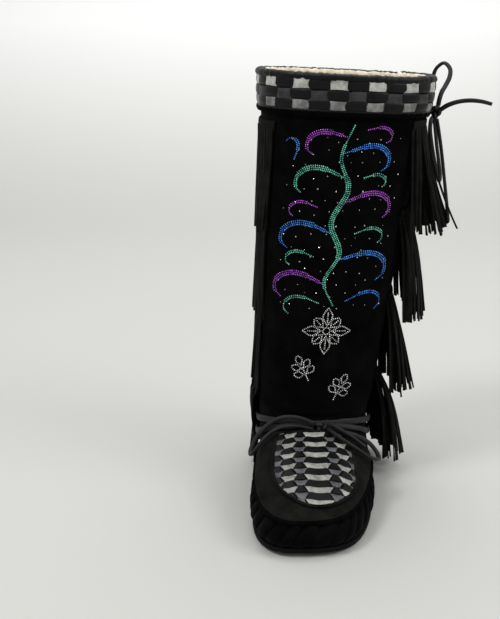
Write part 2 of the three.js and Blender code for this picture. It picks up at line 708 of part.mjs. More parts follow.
const suede = finish(colours.suede, 0.9);
const strip = finish(colours.strip, 0.6);
place("upper", makeUpper(), suede);
const outsole = solePiece(soleOutset, soleFoot, soleTop, 0.8);
const insole = solePiece(-insoleInset, insoleFoot, (forward) => insoleFoot(forward) + insoleThick, 0.3);
place("outsole", outsole, finish(colours.rubber, 0.8));
place("insole", insole, finish(colours.felt, 0.95));
place("apron", makeApron(), suede);
place("apron_welt", makeWelt(), suede);
place("vamp_weave", makeVampWeave(), strip);
place("front_panel", makePanel(), finish(colours.cloth, 0.95));
place("collar_band", makeBand(), strip);
place("collar_binding", makeBinding(), suede);
place("drawstring_casing", makeCasing(), suede);
for (const tier of tiers) place(tier.name, makeTier(tier), suede);
place("ankle_lace", makeAnkleLace(), suede);
for (const [name, knot] of Object.entries(knots)) place(name, makeKnot(knot), suede);
for (const [name, points] of Object.entries(cords)) place(name, makeCord(points), suede);

export default boot;
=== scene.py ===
import math
import random
import bpy
from bisect import bisect_right
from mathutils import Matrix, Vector, noise
from mathutils.bvhtree import BVHTree


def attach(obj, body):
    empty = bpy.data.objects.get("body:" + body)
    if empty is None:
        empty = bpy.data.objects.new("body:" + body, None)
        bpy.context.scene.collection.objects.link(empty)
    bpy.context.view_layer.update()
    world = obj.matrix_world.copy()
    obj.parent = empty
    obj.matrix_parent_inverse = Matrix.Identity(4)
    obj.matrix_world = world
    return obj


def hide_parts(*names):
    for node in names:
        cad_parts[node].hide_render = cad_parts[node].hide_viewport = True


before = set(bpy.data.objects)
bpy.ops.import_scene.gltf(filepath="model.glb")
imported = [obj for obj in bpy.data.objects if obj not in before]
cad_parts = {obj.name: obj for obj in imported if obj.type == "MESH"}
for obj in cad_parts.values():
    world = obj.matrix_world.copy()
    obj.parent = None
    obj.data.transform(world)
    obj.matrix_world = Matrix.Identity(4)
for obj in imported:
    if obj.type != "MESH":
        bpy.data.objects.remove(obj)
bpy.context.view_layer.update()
random.seed(7)
mm = 0.001
fullTurn = 2 * math.pi
up = Vector((0, 0, 1))


# Small helpers

def deselectAll():
    if bpy.context.object and bpy.context.object.mode != "OBJECT":
        bpy.ops.object.mode_set(mode="OBJECT")
    bpy.ops.object.select_all(action="DESELECT")


def pick(piece):
    deselectAll()
    piece.select_set(True)
    bpy.context.view_layer.objects.active = piece


def applyModifier(piece, kind, **settings):
    pick(piece)
    modifier = piece.modifiers.new(kind.title(), kind)
    for key, value in settings.items():
        setattr(modifier, key, value)
    bpy.ops.object.modifier_apply(modifier=modifier.name)


def editMesh(piece, *steps):  # each step is an edit-mode operator, run on the whole mesh
    pick(piece)
    bpy.ops.object.mode_set(mode="EDIT")
    bpy.ops.mesh.select_all(action="SELECT")
    for step in steps:
        step()
    bpy.ops.object.mode_set(mode="OBJECT")


def outwards():
    bpy.ops.mesh.normals_make_consistent(inside=False)


def mergeDoubles():
    bpy.ops.mesh.remove_doubles(threshold=0.00001)


def faceTowards(piece, direction):  # an open sheet's face, whichever way its grid was laid
    editMesh(piece, outwards)
    if sum(polygon.normal.dot(direction) for polygon in piece.data.polygons) < 0:
        editMesh(piece, bpy.ops.mesh.flip_normals)


def shadeSmooth(piece, angle):
    pick(piece)
    bpy.ops.object.shade_smooth_by_angle(angle=math.radians(angle))


def joinPieces(name, pieces):
    deselectAll()
    for piece in pieces:
        piece.select_set(True)
    bpy.context.view_layer.objects.active = pieces[0]
    bpy.ops.object.join()
    pieces[0].name = name
    return pieces[0]


def mixed(a, b, share):
    return a + (b - a) * share


def smoothStep(x, low, high):
    t = min(1.0, max(0.0, (x - low) / (high - low)))
    return t * t * (3 - 2 * t)


def outwardAt(angle):  # angle 0 is the front, a quarter turn is the outer side
    return Vector((math.sin(angle), -math.cos(angle), 0))


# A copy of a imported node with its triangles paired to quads, ready to be worked on
def copyOfNode(node):
    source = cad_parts[node]
    deselectAll()
    piece = bpy.data.objects.new(node, source.data.copy())
    bpy.context.collection.objects.link(piece)
    piece.data.materials.clear()
    piece.data.transform(source.matrix_world)

    def pairTriangles():
        bpy.ops.mesh.tris_convert_to_quads(face_threshold=math.radians(50), shape_threshold=math.radians(60))

    editMesh(piece, mergeDoubles, pairTriangles)
    return piece


def newPiece(name, corners, faces):
    mesh = bpy.data.meshes.new(name)
    mesh.from_pydata(corners, [], faces)
    piece = bpy.data.objects.new(name, mesh)
    bpy.context.collection.objects.link(piece)
    editMesh(piece, outwards)
    return piece


# A grid laid out by a function of its two shares, u along and v across
def shapedGrid(name, along, across, place):
    deselectAll()
    bpy.ops.mesh.primitive_grid_add(x_subdivisions=along, y_subdivisions=across, size=2)
    piece = bpy.context.object
    piece.name = name
    for vertex in piece.data.vertices:
        vertex.co = place((vertex.co.x + 1) / 2, (vertex.co.y + 1) / 2)
    return piece


def closedGrid(name, along, across, place):  # a grid whose sides meet
    piece = shapedGrid(name, along, across, place)
    editMesh(piece, mergeDoubles, outwards)
    return piece


def makeSheet(name, along, across, place, towards, thick, material):  # its thickness lies behind its face
    piece = shapedGrid(name, along, across, place)
    faceTowards(piece, towards)
    applyModifier(piece, "SOLIDIFY", thickness=thick, offset=-1)
    dress(piece, material)
    return piece


# An oval section by its share v of the way round: height and offset, each between two ends
def ovalSection(v, heights, offsets, swell=0.0):
    rising = math.sin(fullTurn * v)
    leaving = math.cos(fullTurn * v)
    height = mixed(*heights, 0.5 + 0.5 * rising) + swell * rising
    return height, mixed(*offsets, 0.5 + 0.5 * leaving) + swell * leaving


def edgeDrop(share, deep, power):  # how far a woven strip bends down towards its sides
    return deep * (2 * abs(share - 0.5)) ** power


def dress(piece, *materials):
    piece.data.materials.clear()
    for material in materials:
        piece.data.materials.append(material)


# Shades a piece, dresses it if a material is given, and has it ride on the one body in place of its nodes
def ready(piece, slot, *nodes, smooth=60, material=None):
    if smooth:
        shadeSmooth(piece, smooth)
    if material:
        dress(piece, material)
    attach(piece, "root")
    if nodes:
        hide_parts(*nodes)


# Camera

view = {
    "place": (-62 * mm, -1002 * mm, 426 * mm),
    "downward": 15.3,  # degrees
    "sensor": 36, "lens": 73.44,  # 1020 pixels at a width of 500
}


def makeCamera():
    camera = bpy.data.cameras.new("viewCamera")
    camera.sensor_fit = "HORIZONTAL"
    camera.sensor_width = view["sensor"]
    camera.lens = view["lens"]
    holder = bpy.data.objects.new("viewCamera", camera)
    holder.location = view["place"]
    holder.rotation_euler = (math.radians(90 - view["downward"]), 0, 0)
    bpy.context.collection.objects.link(holder)
    bpy.context.scene.camera = holder


makeCamera()
print("camera set")


# Materials

def linear(code):
    values = [int(code[i:i + 2], 16) / 255 for i in (1, 3, 5)]
    return tuple(v / 12.92 if v <= 0.04045 else ((v + 0.055) / 1.055) ** 2.4 for v in values) + (1,)


# Adds a node with its settings and its inputs, each a value or another node's output
def addNode(material, kind, inputs=None, **settings):
    node = material.node_tree.nodes.new("ShaderNode" + kind)
    for key, value in settings.items():
        setattr(node, key, value)
    for key, value in (inputs or {}).items():
        if isinstance(value, bpy.types.NodeSocket):
            material.node_tree.links.new(value, node.inputs[key])
        else:
            node.inputs[key].default_value = value
    return node


def addTexture(material, kind, scale, inputs=None, **settings):  # in the object's own space, in metres
    place = addNode(material, "TexCoord").outputs["Object"]
    return addNode(material, "Tex" + kind, {"Vector": place, "Scale": scale, **(inputs or {})}, **settings)


def addBump(material, height, strength, depth, under=None, **settings):  # over another bump, if one is given
    inputs = {"Height": height, "Strength": strength, "Distance": depth}
    if under:
        inputs["Normal"] = under
    return addNode(material, "Bump", inputs, **settings).outputs["Normal"]


def colourRamp(material, factor, stops):
    ramp = addNode(material, "ValToRGB", {"Fac": factor})
    for element, (place, code) in zip(ramp.color_ramp.elements, stops):
        element.position = place
        element.color = linear(code)
    return ramp.outputs["Color"]


def newMaterial(name, surface):
    material = bpy.data.materials.new(name)
    material.use_nodes = True
    shader = material.node_tree.nodes["Principled BSDF"]
    for key, value in surface.items():
        shader.inputs[key].default_value = value
    return material, shader


def finishMaterial(material, shader, colour, normal=None):
    material.node_tree.links.new(colour, shader.inputs["Base Color"])
    if normal:
        material.node_tree.links.new(normal, shader.inputs["Normal"])
    return material


# Split cowhide suede, dyed black and brushed: a soft nap that shades in patches and swallows the light
def makeSuede(name, dark, light, patches, sheen):
    material, shader = newMaterial(name, {
        "Roughness": 0.92, "IOR": 1.45, "Specular IOR Level": 0.03,
        "Sheen Weight": sheen, "Sheen Roughness": 0.5, "Sheen Tint": linear("#77787e"),
    })
    cloud = addTexture(material, "Noise", patches, {"Detail": 6.0, "Roughness": 0.6}).outputs["Fac"]
    napScale = 1 / (1.4 * mm)  # 0.7 mm nap, doubled to show
    hairs = addTexture(material, "Noise", napScale, {"Detail": 4.0}).outputs["Fac"]
    blend = addNode(material, "Math", {0: cloud, 1: 0.72}, operation="MULTIPLY").outputs[0]
    total = addNode(material, "Math", {0: hairs, 1: 0.28, 2: blend}, operation="MULTIPLY_ADD").outputs[0]
    colour = colourRamp(material, total, [(0.36, dark), (0.66, light)])
    fine = addBump(material, hairs, 0.35, 0.35 * mm)
    return finishMaterial(material, shader, colour, addBump(material, cloud, 0.35, 1.6 * mm, fine))


# Garment leather with a finished grain side, as on woven strips and lacing: fine pores and a satin gloss
def makeStripLeather(name, code, shade, roughness, gloss=0.3):
    material, shader = newMaterial(name, {"IOR": 1.5, "Specular IOR Level": gloss})
    poreScale = 1 / (1.1 * mm)  # 0.5 mm pores, doubled to show
    grain = addTexture(material, "Voronoi", poreScale).outputs["Distance"]
    wear = addTexture(material, "Noise", 140.0, {"Detail": 5.0, "Roughness": 0.65}).outputs["Fac"]
    colour = colourRamp(material, wear, [(0.32, shade), (0.62, code)])
    ends = {"Value": wear, "To Min": roughness - 0.1, "To Max": roughness + 0.15}
    worn = addNode(material, "MapRange", ends).outputs["Result"]
    material.node_tree.links.new(worn, shader.inputs["Roughness"])
    fine = addBump(material, grain, 0.25, 0.2 * mm)
    return finishMaterial(material, shader, colour, addBump(material, wear, 0.5, 0.6 * mm, fine))


# Black wool melton: felted twill with a faint diagonal and loose fibres
def makeWoolCloth():
    material, shader = newMaterial("blackWoolMelton", {
        "Roughness": 0.96, "IOR": 1.5, "Specular IOR Level": 0.02,
        "Sheen Weight": 0.012, "Sheen Roughness": 0.5, "Sheen Tint": linear("#77777c"),
    })
    lines = {"Distortion": 1.2, "Detail": 2.0, "Detail Scale": 3.0}  # 0.8 mm twill lines
    twill = addTexture(material, "Wave", 1 / (5.2 * mm), lines, bands_direction="DIAGONAL").outputs["Fac"]
    fibre = addTexture(material, "Noise", 1 / (0.9 * mm), {"Detail": 5.0}).outputs["Fac"]
    cloud = addTexture(material, "Noise", 45.0, {"Detail": 3.0}).outputs["Fac"]
    total = addNode(material, "Math", {0: fibre, 1: 0.4, 2: cloud}, operation="MULTIPLY_ADD").outputs[0]
    colour = colourRamp(material, total, [(0.5, "#030303"), (0.95, "#0b0b0b")])
    raised = addBump(material, twill, 0.25, 0.25 * mm)
    return finishMaterial(material, shader, colour, addBump(material, fibre, 0.35, 0.3 * mm, raised))


# Sheared fleece lining: cream wool in small curls, with painted shade in the hollows between them
def makeFleece():
    material, shader = newMaterial("creamFleece", {
        "Roughness": 1.0, "IOR": 1.5, "Specular IOR Level": 0.1,
        "Sheen Weight": 0.35, "Sheen Roughness": 0.6, "Sheen Tint": linear("#fff6e4"),
    })
    curlScale = 1 / (4.5 * mm)  # 4.5 mm curls
    curls = addTexture(material, "Voronoi", curlScale, feature="SMOOTH_F1").outputs["Distance"]
    fibre = addTexture(material, "Noise", 1 / (1.5 * mm), {"Detail": 6.0, "Distortion": 1.5}).outputs["Fac"]
    # darker towards the edges of the curls, where the bump dips: painted shade between the curls
    colour = colourRamp(material, curls, [(0.1, "#efe7d6"), (0.75, "#b9ac93")])
    lumps = addBump(material, curls, 0.8, 1.5 * mm, invert=True)
    return finishMaterial(material, shader, colour, addBump(material, fibre, 0.6, 0.6 * mm, lumps))


# Moulded crepe rubber sheet, left matte with a pebbled skin
def makeRubber():
    material, shader = newMaterial("blackCrepeRubber", {
        "Roughness": 0.8, "IOR": 1.52, "Specular IOR Level": 0.12,
    })
    pebble = addTexture(material, "Voronoi", 1 / (3 * mm)).outputs["Distance"]  # 3 mm crepe pebbles
    dust = addTexture(material, "Noise", 90.0, {"Detail": 6.0}).outputs["Fac"]
    colour = colourRamp(material, dust, [(0.35, "#050505"), (0.75, "#0f0f0e")])
    return finishMaterial(material, shader, colour, addBump(material, pebble, 0.5, 0.7 * mm))


# Pressed wool felt of the footbed
def makeFelt():
    material, shader = newMaterial("creamWoolFelt", {
        "Roughness": 1.0, "IOR": 1.5, "Specular IOR Level": 0.1, "Sheen Weight": 0.2, "Sheen Roughness": 0.6,
    })
    fibre = addTexture(material, "Noise", 1 / (1.2 * mm), {"Detail": 6.0, "Distortion": 2.0}).outputs["Fac"]
    colour = colourRamp(material, fibre, [(0.3, "#b8ad97"), (0.7, "#e2d9c6")])
    return finishMaterial(material, shader, colour, addBump(material, fibre, 0.5, 0.5 * mm))


# Glass seed beads, lined with colour: glossy, with a tone that differs from bead to bead
def makeBeadGlass(name, code, shade, metallic):
    material, shader = newMaterial(name, {
        "Roughness": 0.14, "IOR": 1.52, "Metallic": metallic, "Specular IOR Level": 0.6,
        "Coat Weight": 0.5, "Coat Roughness": 0.05,
    })
    lotScale = 260.0  # tones change every 4 mm or so
    lot = addTexture(material, "Noise", lotScale, {"Detail": 2.0}).outputs["Fac"]
    return finishMaterial(material, shader, colourRamp(material, lot, [(0.36, shade), (0.58, code)]))


suede = makeSuede("blackSuede", "#020202", "#08080a", 60, 0.012)
nap = makeSuede("gatheredSuede", "#030303", "#0b0b0b", 45, 0.06)
# a lighter copy of the same black suede, for the apron, its inset edge and the fringe: painted light
litSuede = makeSuede("litBlackSuede", "#0b0b0a", "#1d1d1b", 60, 0.06)
lacing = makeStripLeather("blackLacingLeather", "#1d1d1f", "#0e0e10", 0.55, 0.28)
black = makeStripLeather("blackStripLeather", "#0a0a0b", "#030304", 0.42, 0.18)
silver = makeStripLeather("silverStripLeather", "#bfbfb8", "#83837f", 0.42)
# a darker copy of the silver strip leather for the woven vamp: painted shade that dims strips facing up into
# the light
shadedSilver = makeStripLeather("shadedSilverStripLeather", "#a2a29c", "#6b6b67", 0.45)
charcoal = makeStripLeather("charcoalStripLeather", "#343436", "#161617", 0.42)
pewter = makeStripLeather("pewterStripLeather", "#5d5f62", "#38393c", 0.42)
grey = makeStripLeather("greyStripLeather", "#8b8b88", "#4f4f4e", 0.45)
wool = makeWoolCloth()
fleece = makeFleece()
rubber = makeRubber()
felt = makeFelt()
beadGlass = {
    "teal": makeBeadGlass("tealLinedGlass", "#6fdcb6", "#1f7a74", 0.1),
    "blue": makeBeadGlass("blueLinedGlass", "#3a96f2", "#1440a6", 0.1),
    "purple": makeBeadGlass("purpleLinedGlass", "#bd4ed8", "#582284", 0.1),
    "silver": makeBeadGlass("silverLinedGlass", "#dededc", "#8f9094", 0.4),
}
crystal = makeBeadGlass("clearCutGlass", "#cfccc2", "#77736a", 0.5)
print("materials made")


# Cords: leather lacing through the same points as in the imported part, in millimetres

cords = {
    "width": 4.4, "flat": 0.74, "twist": 1.2, "sides": 10, "knotWidth": 4.0, "knotFlat": 0.9, "knotSteps": 60,
    "bows": [  # knot, its middle and radii, and the cords from it
        ("ankle_knot", (4, -117.3, 71.8), (7.2, 4.8, 5.6), {
            "ankle_loop_inner": [
                (-3.8, -118, 75), (-10, -116.8, 77.4), (-18.5, -114, 78.8), (-28, -111, 78.2),
                (-36.5, -109.4, 75.4), (-44.5, -109, 70.2), (-52.5, -110, 62.5), (-58.4, -112.4, 54),
                (-61.5, -117.4, 47.2), (-61, -123.6, 46.2), (-57.6, -127.6, 51.4), (-51.6, -126, 59.6),
                (-43.4, -122.6, 67), (-32, -119.8, 71.6), (-18, -118.6, 72.2), (-9, -118.3, 70.6),
                (-3.5, -117.8, 69.2)],
            "ankle_loop_outer": [
                (10.6, -121.6, 70.4), (14.4, -129, 69.9), (20, -136, 68), (27, -141.6, 65), (37, -143, 58.4),
                (46.5, -138.5, 50.4), (54, -130.5, 44.5), (58, -122, 41.6), (57.5, -115.5, 43.5),
                (53, -114.5, 50), (47.5, -118, 56.5), (40, -123.5, 63), (30.5, -126.5, 68), (20.5, -124, 70),
                (12.4, -116.4, 70.6)],
            "ankle_end": [
                (10, -119.8, 75.3), (15, -124.6, 75.2), (20.5, -129.4, 73.4), (28, -133.2, 70),
                (36, -133.4, 64), (43.5, -129.6, 56.8)],
        }),
        ("drawstring_knot", (111.4, -34.6, 352.3), (5.4, 7.2, 8.5), {
            "drawstring_loop_up": [
                (112.8, -37.8, 358.6), (113.8, -38, 365), (116.2, -35, 371), (120.5, -30, 377),
                (124.7, -25, 384.5), (125.5, -20, 391.5), (121, -14, 396.5), (115.2, -7, 391.5),
                (113, -1, 382), (111.8, 2, 371), (111, -2, 361.5), (110.8, -12, 355), (111, -24, 352.6),
                (111.2, -27.6, 352)],
            "drawstring_loop_down": [
                (111.2, -30.5, 344.4), (113.4, -25, 336), (116.8, -18, 320), (120.7, -12, 303),
                (123.8, -6, 289), (124.8, 2, 283), (123.2, 8.5, 289), (119.8, 8.5, 302), (115.8, 4, 318),
                (112.4, -3, 333), (111.2, -13, 343.5), (111.2, -23.5, 348)],
            "drawstring_end_out": [
                (114.8, -38.5, 354.8), (121.2, -43, 359.6), (130.2, -47.5, 363), (140.2, -51, 364.2),
                (149.2, -54, 363.5), (158.7, -56, 361.2)],
            "drawstring_end_down": [
                (112.4, -36.4, 345.9), (114.6, -40, 333), (117.6, -42.5, 314), (120.6, -44.5, 292),
                (123.6, -46, 270), (125.8, -47, 252)],
        }),
    ],
}


# The smooth line through given points, in metres
def smoothLine(points, stepsEach=6):
    p = [Vector(q) * mm for q in points]
    p = [2 * p[0] - p[1]] + p + [2 * p[-1] - p[-2]]
    line = []
    for i in range(1, len(p) - 2):
        t = [0.0]
        for a, b in ((p[i - 1], p[i]), (p[i], p[i + 1]), (p[i + 1], p[i + 2])):
            t.append(t[-1] + max((b - a).length, 1e-6) ** 0.5)
        for k in range(stepsEach):
            s = mixed(t[1], t[2], k / stepsEach)
            a1 = p[i - 1].lerp(p[i], (s - t[0]) / (t[1] - t[0]))
            a2 = p[i].lerp(p[i + 1], (s - t[1]) / (t[2] - t[1]))
            a3 = p[i + 1].lerp(p[i + 2], (s - t[2]) / (t[3] - t[2]))
            b1 = a1.lerp(a2, (s - t[0]) / (t[2] - t[0]))
            b2 = a2.lerp(a3, (s - t[1]) / (t[3] - t[1]))
            line.append(b1.lerp(b2, (s - t[1]) / (t[2] - t[1])))
    return line + [p[-2]]


def lineLength(line):
    return sum((b - a).length for a, b in zip(line, line[1:]))


# A tube along a line. Its section is a little flat, as cut lacing is, and turns slowly.
def makeTube(name, line, width, flat):
    last = len(line) - 1
    frames = []
    side = up
    for i, point in enumerate(line):
        ahead = (line[min(i + 1, last)] - line[max(i - 1, 0)]).normalized()
        side = (side - ahead * side.dot(ahead)).normalized()
        frames.append((point, side, ahead.cross(side)))

    def place(u, v):
        i = round(u * last)
        point, sideways, upwards = frames[i]
        turn = cords["twist"] * i / len(line)
        x = width / 2 * math.cos(fullTurn * v)
        y = width / 2 * flat * math.sin(fullTurn * v)
        across = x * math.cos(turn) - y * math.sin(turn)
        return point + sideways * across + upwards * (x * math.sin(turn) + y * math.cos(turn))

    def closeEnds():
        bpy.ops.mesh.remove_doubles(threshold=0.00002)
        bpy.ops.mesh.select_all(action="DESELECT")
        bpy.ops.mesh.select_non_manifold(extend=False)
        bpy.ops.mesh.edge_face_add()
        bpy.ops.mesh.select_all(action="SELECT")

    tube = shapedGrid(name, last, cords["sides"], place)
    editMesh(tube, closeEnds, outwards)
    return tube


def makeKnot(node, centre, radii):  # the lacing runs in a trefoil
    line = []
    for i in range(cords["knotSteps"] + 1):
        t = fullTurn * i / cords["knotSteps"]
        x = (math.sin(t) + 2 * math.sin(2 * t)) / 3
        y = -math.sin(3 * t)
        z = (math.cos(t) - 2 * math.cos(2 * t)) / 3
        spot = [c + (r - cords["knotWidth"] / 2) * s for c, r, s in zip(centre, radii, (x, y, z))]
        line.append(Vector(spot) * mm)
    knot = makeTube(node.replace("_", "-"), line, cords["knotWidth"] * mm, cords["knotFlat"])
    ready(knot, "suede", node, smooth=50, material=lacing)
    return knot


def makeCords():
    width = cords["width"] * mm
    for node, centre, radii, pieces in cords["bows"]:
        knots = [makeKnot(node, centre, radii)]
        for node, points in pieces.items():
            line = smoothLine(points)
            tube = makeTube(node.replace("_", "-"), line, width, cords["flat"])
            ready(tube, "suede", node, smooth=50, material=lacing)
            tuple(line[0])
            lineLength(line)
            "object" if "loop" in node else "bare"
            "loose" if "ankle" in node else "hanging"
            [tuple(q) for q in line[::3] + [line[-1]]]
            knots = []


makeCords()
print("cords laid")


# Smooth forms of the foot and shaft

shape = {
    "lean": [  # height and shift towards the outer side, in metres
        (0.060, 0.0), (0.092, 0.002), (0.205, 0.012), (0.3525, 0.0245), (0.385, 0.027),
    ],
    "middle": -32.5 * mm,  # the shaft's middle from toe to heel
    "rim": 385 * mm, "rimClear": 4 * mm,
    "tiltLow": 0.035, "tiltHigh": 0.05, "tiltFrom": 352.5 * mm,  # the collar's drop towards the outer side
    "heelCentre": 38 * mm, "seamToe": 28 * mm, "seamHeel": 44 * mm, "seamLength": 264 * mm,
    "instep": (-109 * mm, 71 * mm),  # forward place and height of the bend between foot and shaft
    "liningBack": Vector((0, 3.28 * mm, -2.28 * mm)), "liningNear": 8 * mm, "liningFar": 30 * mm,
    "rayReach": 250 * mm, "rayDrop": 100 * mm, "spareRadius": 60 * mm,
}
footMiddle = Vector((-2 * mm, -118 * mm, 0))


def smoothUpper():
    piece = copyOfNode("upper")
    applyModifier(piece, "SUBSURF", levels=2, render_levels=2)
    inner = set()
    for polygon in piece.data.polygons:  # at the instep the smoothed lining is set back behind the outer face
        if polygon.normal.z < 0 and polygon.normal.y > -0.2 and abs(polygon.center.x) < 50 * mm:
            inner.update(polygon.vertices)
    for index in inner:
        vertex = piece.data.vertices[index]
        away = math.hypot(vertex.co.y - shape["instep"][0], vertex.co.z - shape["instep"][1])
        vertex.co += shape["liningBack"] * (1 - smoothStep(away, shape["liningNear"], shape["liningFar"]))
    return piece


def treeOf(piece):
    return BVHTree.FromObject(piece, bpy.context.evaluated_depsgraph_get())


upper = smoothUpper()
upperTree = treeOf(upper)


def leanAt(z):
    rows = shape["lean"]
    for (z0, x0), (z1, x1) in zip(rows, rows[1:]):
        if z <= z1:
            return mixed(x0, x1, max(0.0, (z - z0) / (z1 - z0)))
    return rows[-1][1]


def rayInwards(centre, outward):  # onto the upper's outer face, from outside towards the centre
    return upperTree.ray_cast(centre + outward * shape["rayReach"], -outward, shape["rayReach"])


def shaftHit(angle, z):  # a point of the shaft's outer face, and the level direction away from it
    outward = outwardAt(angle)
    centre = Vector((leanAt(z), shape["middle"], z))
    hit, normal, _, _ = rayInwards(centre, outward)
    if hit is None:
        return centre + outward * shape["spareRadius"], outward
    return hit, Vector((normal.x, normal.y, 0)).normalized()


# Lengths round the shaft up to each step of the angle, so that pieces keep their width round the corners
def roundTable(z, count=240):
    spots = [shaftHit(fullTurn * i / count, z)[0] for i in range(count + 1)]
    lengths = [0.0]
    for a, b in zip(spots, spots[1:]):
        lengths.append(lengths[-1] + (b - a).length)
    return lengths


def angleAt(lengths, length):
    turns, length = divmod(length, lengths[-1])
    count = len(lengths) - 1
    low = min(bisect_right(lengths, length), count) - 1
    share = (length - lengths[low]) / max(lengths[low + 1] - lengths[low], 1e-9)
    return fullTurn * (turns + (low + share) / count)


def lengthAt(lengths, angle):
    turns, angle = divmod(angle, fullTurn)
    count = len(lengths) - 1
    step = angle / fullTurn * count
    i = min(int(step), count - 1)
    return turns * lengths[-1] + mixed(lengths[i], lengths[i + 1], step - i)


def seamHeight(y):  # the seam round the top of the foot drops towards the toe
    share = min(1.0, max(0.0, (shape["heelCentre"] - y) / shape["seamLength"]))
    return mixed(shape["seamHeel"], shape["seamToe"], share ** 1.5)


def seamPoint(angle, rise=0.0):  # by its direction from the middle of the vamp
    z = 34 * mm
    for _ in range(4):
        hit = rayInwards(footMiddle + up * (z + rise), outwardAt(angle))[0]
        z = seamHeight(hit.y)
    return hit


def dropOn(x, y, offset):  # straight down onto the top of the foot
    hit, normal, _, _ = upperTree.ray_cast(Vector((x, y, shape["rayDrop"])), -up)
    return hit + normal * offset


# Gathers: soft ridges under the seam with sharp creases between them, deepest close under it

gathers = {
    "count": 23, "widths": (0.72, 1.3), "reach": math.radians(88), "ends": 0.82, "deep": 8.5 * mm,
    "lean": 4.0,  # share of the reach for each metre down
    "round": 0.85, "level": 0.7, "fade": (8 * mm, 14 * mm), "lip": 2 * mm,
    "back": -60 * mm, "fineBack": -95 * mm, "top": 42 * mm,
}


def cutGathers():  # the creases' places, as shares of the reach to each side of the toe
    edges = [-1.0]
    while edges[-1] < 1.0:
        edges.append(edges[-1] + 2 / gathers["count"] * random.uniform(*gathers["widths"]))
    edges[-1] = 1.05
    return edges


gatherEdges = cutGathers()


def gatherDepth(angle, below):
    share = angle / gathers["reach"] + gathers["lean"] * below
    for low, high in zip(gatherEdges, gatherEdges[1:]):
        if low <= share < high:
            strength = 0.7 + 0.3 * math.sin(37.7 * low)
            ridge = abs(math.sin(math.pi * (share - low) / (high - low))) ** gathers["round"]
            fade = math.exp(-max(0.0, below) / mixed(*gathers["fade"], strength))
            fade *= smoothStep(below, -gathers["lip"], gathers["lip"])
            fade *= 1 - smoothStep(abs(share), gathers["ends"], 1)
            return gathers["deep"] * (ridge - gathers["level"]) * strength * fade
    return 0.0


def shapeUpper():
    for vertex in upper.data.vertices:
        p = vertex.co
        if p.z < gathers["top"] and p.y < gathers["back"]:
            outward = Vector((p.x - footMiddle.x, p.y - footMiddle.y, 0))
            angle = math.atan2(outward.x, -outward.y)
            vertex.co = p + outward.normalized() * gatherDepth(angle, seamHeight(p.y) - p.z)


def fineToe():  # more faces round the toe, so that the creases are sharp
    pick(upper)
    for polygon in upper.data.polygons:
        polygon.select = polygon.center.y < gathers["fineBack"] and polygon.center.z < gathers["top"]
    for edge in upper.data.edges:
        edge.select = False
    for vertex in upper.data.vertices:
        vertex.select = False
    bpy.ops.object.mode_set(mode="EDIT")
    bpy.context.tool_settings.mesh_select_mode = (False, False, True)
    bpy.ops.mesh.subdivide(number_cuts=2, quadcorner="INNERVERT", smoothness=0.0)
    bpy.context.tool_settings.mesh_select_mode = (True, False, False)
    bpy.ops.object.mode_set(mode="OBJECT")


def facesInside(place):  # a point of the hollow has the wall on all four sides of it
    ways = (Vector((1, 0, 0)), Vector((-1, 0, 0)), Vector((0, 1, 0)), Vector((0, -1, 0)))
    return all(upperTree.ray_cast(place, way, 350 * mm)[0] is not None for way in ways)


fineToe()
dress(upper, nap, fleece)
for polygon in upper.data.polygons:  # inner faces wear the lining
    polygon.material_index = 1 if facesInside(polygon.center + polygon.normal * 1 * mm) else 0
shapeUpper()
ready(upper, "suede", "upper", smooth=70)
print("upper shaped")


# Sole and footbed: node, slot, material, width of the rounded edge and its steps

soles = [("outsole", "rubber", rubber, 0.7 * mm, 3), ("insole", "felt", felt, 0.8 * mm, 2)]
sharpAngle = math.radians(40)

for node, slot, material, edge, steps in soles:
    sole = copyOfNode(node)
    applyModifier(sole, "BEVEL", width=edge, segments=steps, limit_method="ANGLE", angle_limit=sharpAngle)
    ready(sole, slot, node, smooth=50, material=material)
print("sole done")


# Apron: the plain piece on top of the foot, fanned out from the middle to the seam

apron = {
    "reach": math.radians(97), "offset": 2.0 * mm, "thick": 1.6 * mm, "rise": 1.2 * mm, "edgeLift": 0.6,
    "inwards": 0.97, "rows": 22, "columns": 90,
}


def makeApron():
    def place(u, v):
        angle = mixed(-apron["reach"], apron["reach"], u)
        edge = seamPoint(angle, apron["rise"])
        if v < 0.5 / apron["rows"]:  # the outer row
            return edge + (outwardAt(angle) + up * apron["edgeLift"]).normalized() * apron["offset"]
        spot = footMiddle.lerp(edge, 1 - v * apron["inwards"])
        return dropOn(spot.x, spot.y, apron["offset"])

    # the apron wears the lighter copy of the suede, with painted light
    return makeSheet("apron", apron["columns"], apron["rows"], place, up, apron["thick"], litSuede)


# Seam: a rolled and whipped edge between apron and foot

welt = {
    "thick": 3.3 * mm, "wide": 1.15, "tall": 1.3, "out": 0.9 * mm, "lift": 0.4 * mm,
    "stitches": 62, "pucker": 0.22, "uneven": 0.12, "columns": 260,
}


def makeWelt():
    def place(u, v):
        angle = mixed(-apron["reach"], apron["reach"], u)
        pucker = 1 + welt["pucker"] * math.sin(u * fullTurn * welt["stitches"])
        pucker += welt["uneven"] * noise.noise(Vector((u * 90, 0, 0)))
        radius = welt["thick"] / 2 * pucker
        out = welt["out"] + welt["wide"] * radius * math.cos(fullTurn * v)
        lift = welt["lift"] + welt["tall"] * radius * math.sin(fullTurn * v)
        return seamPoint(angle) + outwardAt(angle) * out + up * lift

    ready(closedGrid("apron-welt", welt["columns"], 10, place), "suede", "apron_welt", material=suede)


apronTop = makeApron()
makeWelt()
print("apron and seam done")


# Woven inset: leather strips that run lengthwise over and under black cross strips. Where a strip comes up it
# is wide at the ankle side and pinched at the toe side, so the sides of the checks slant.

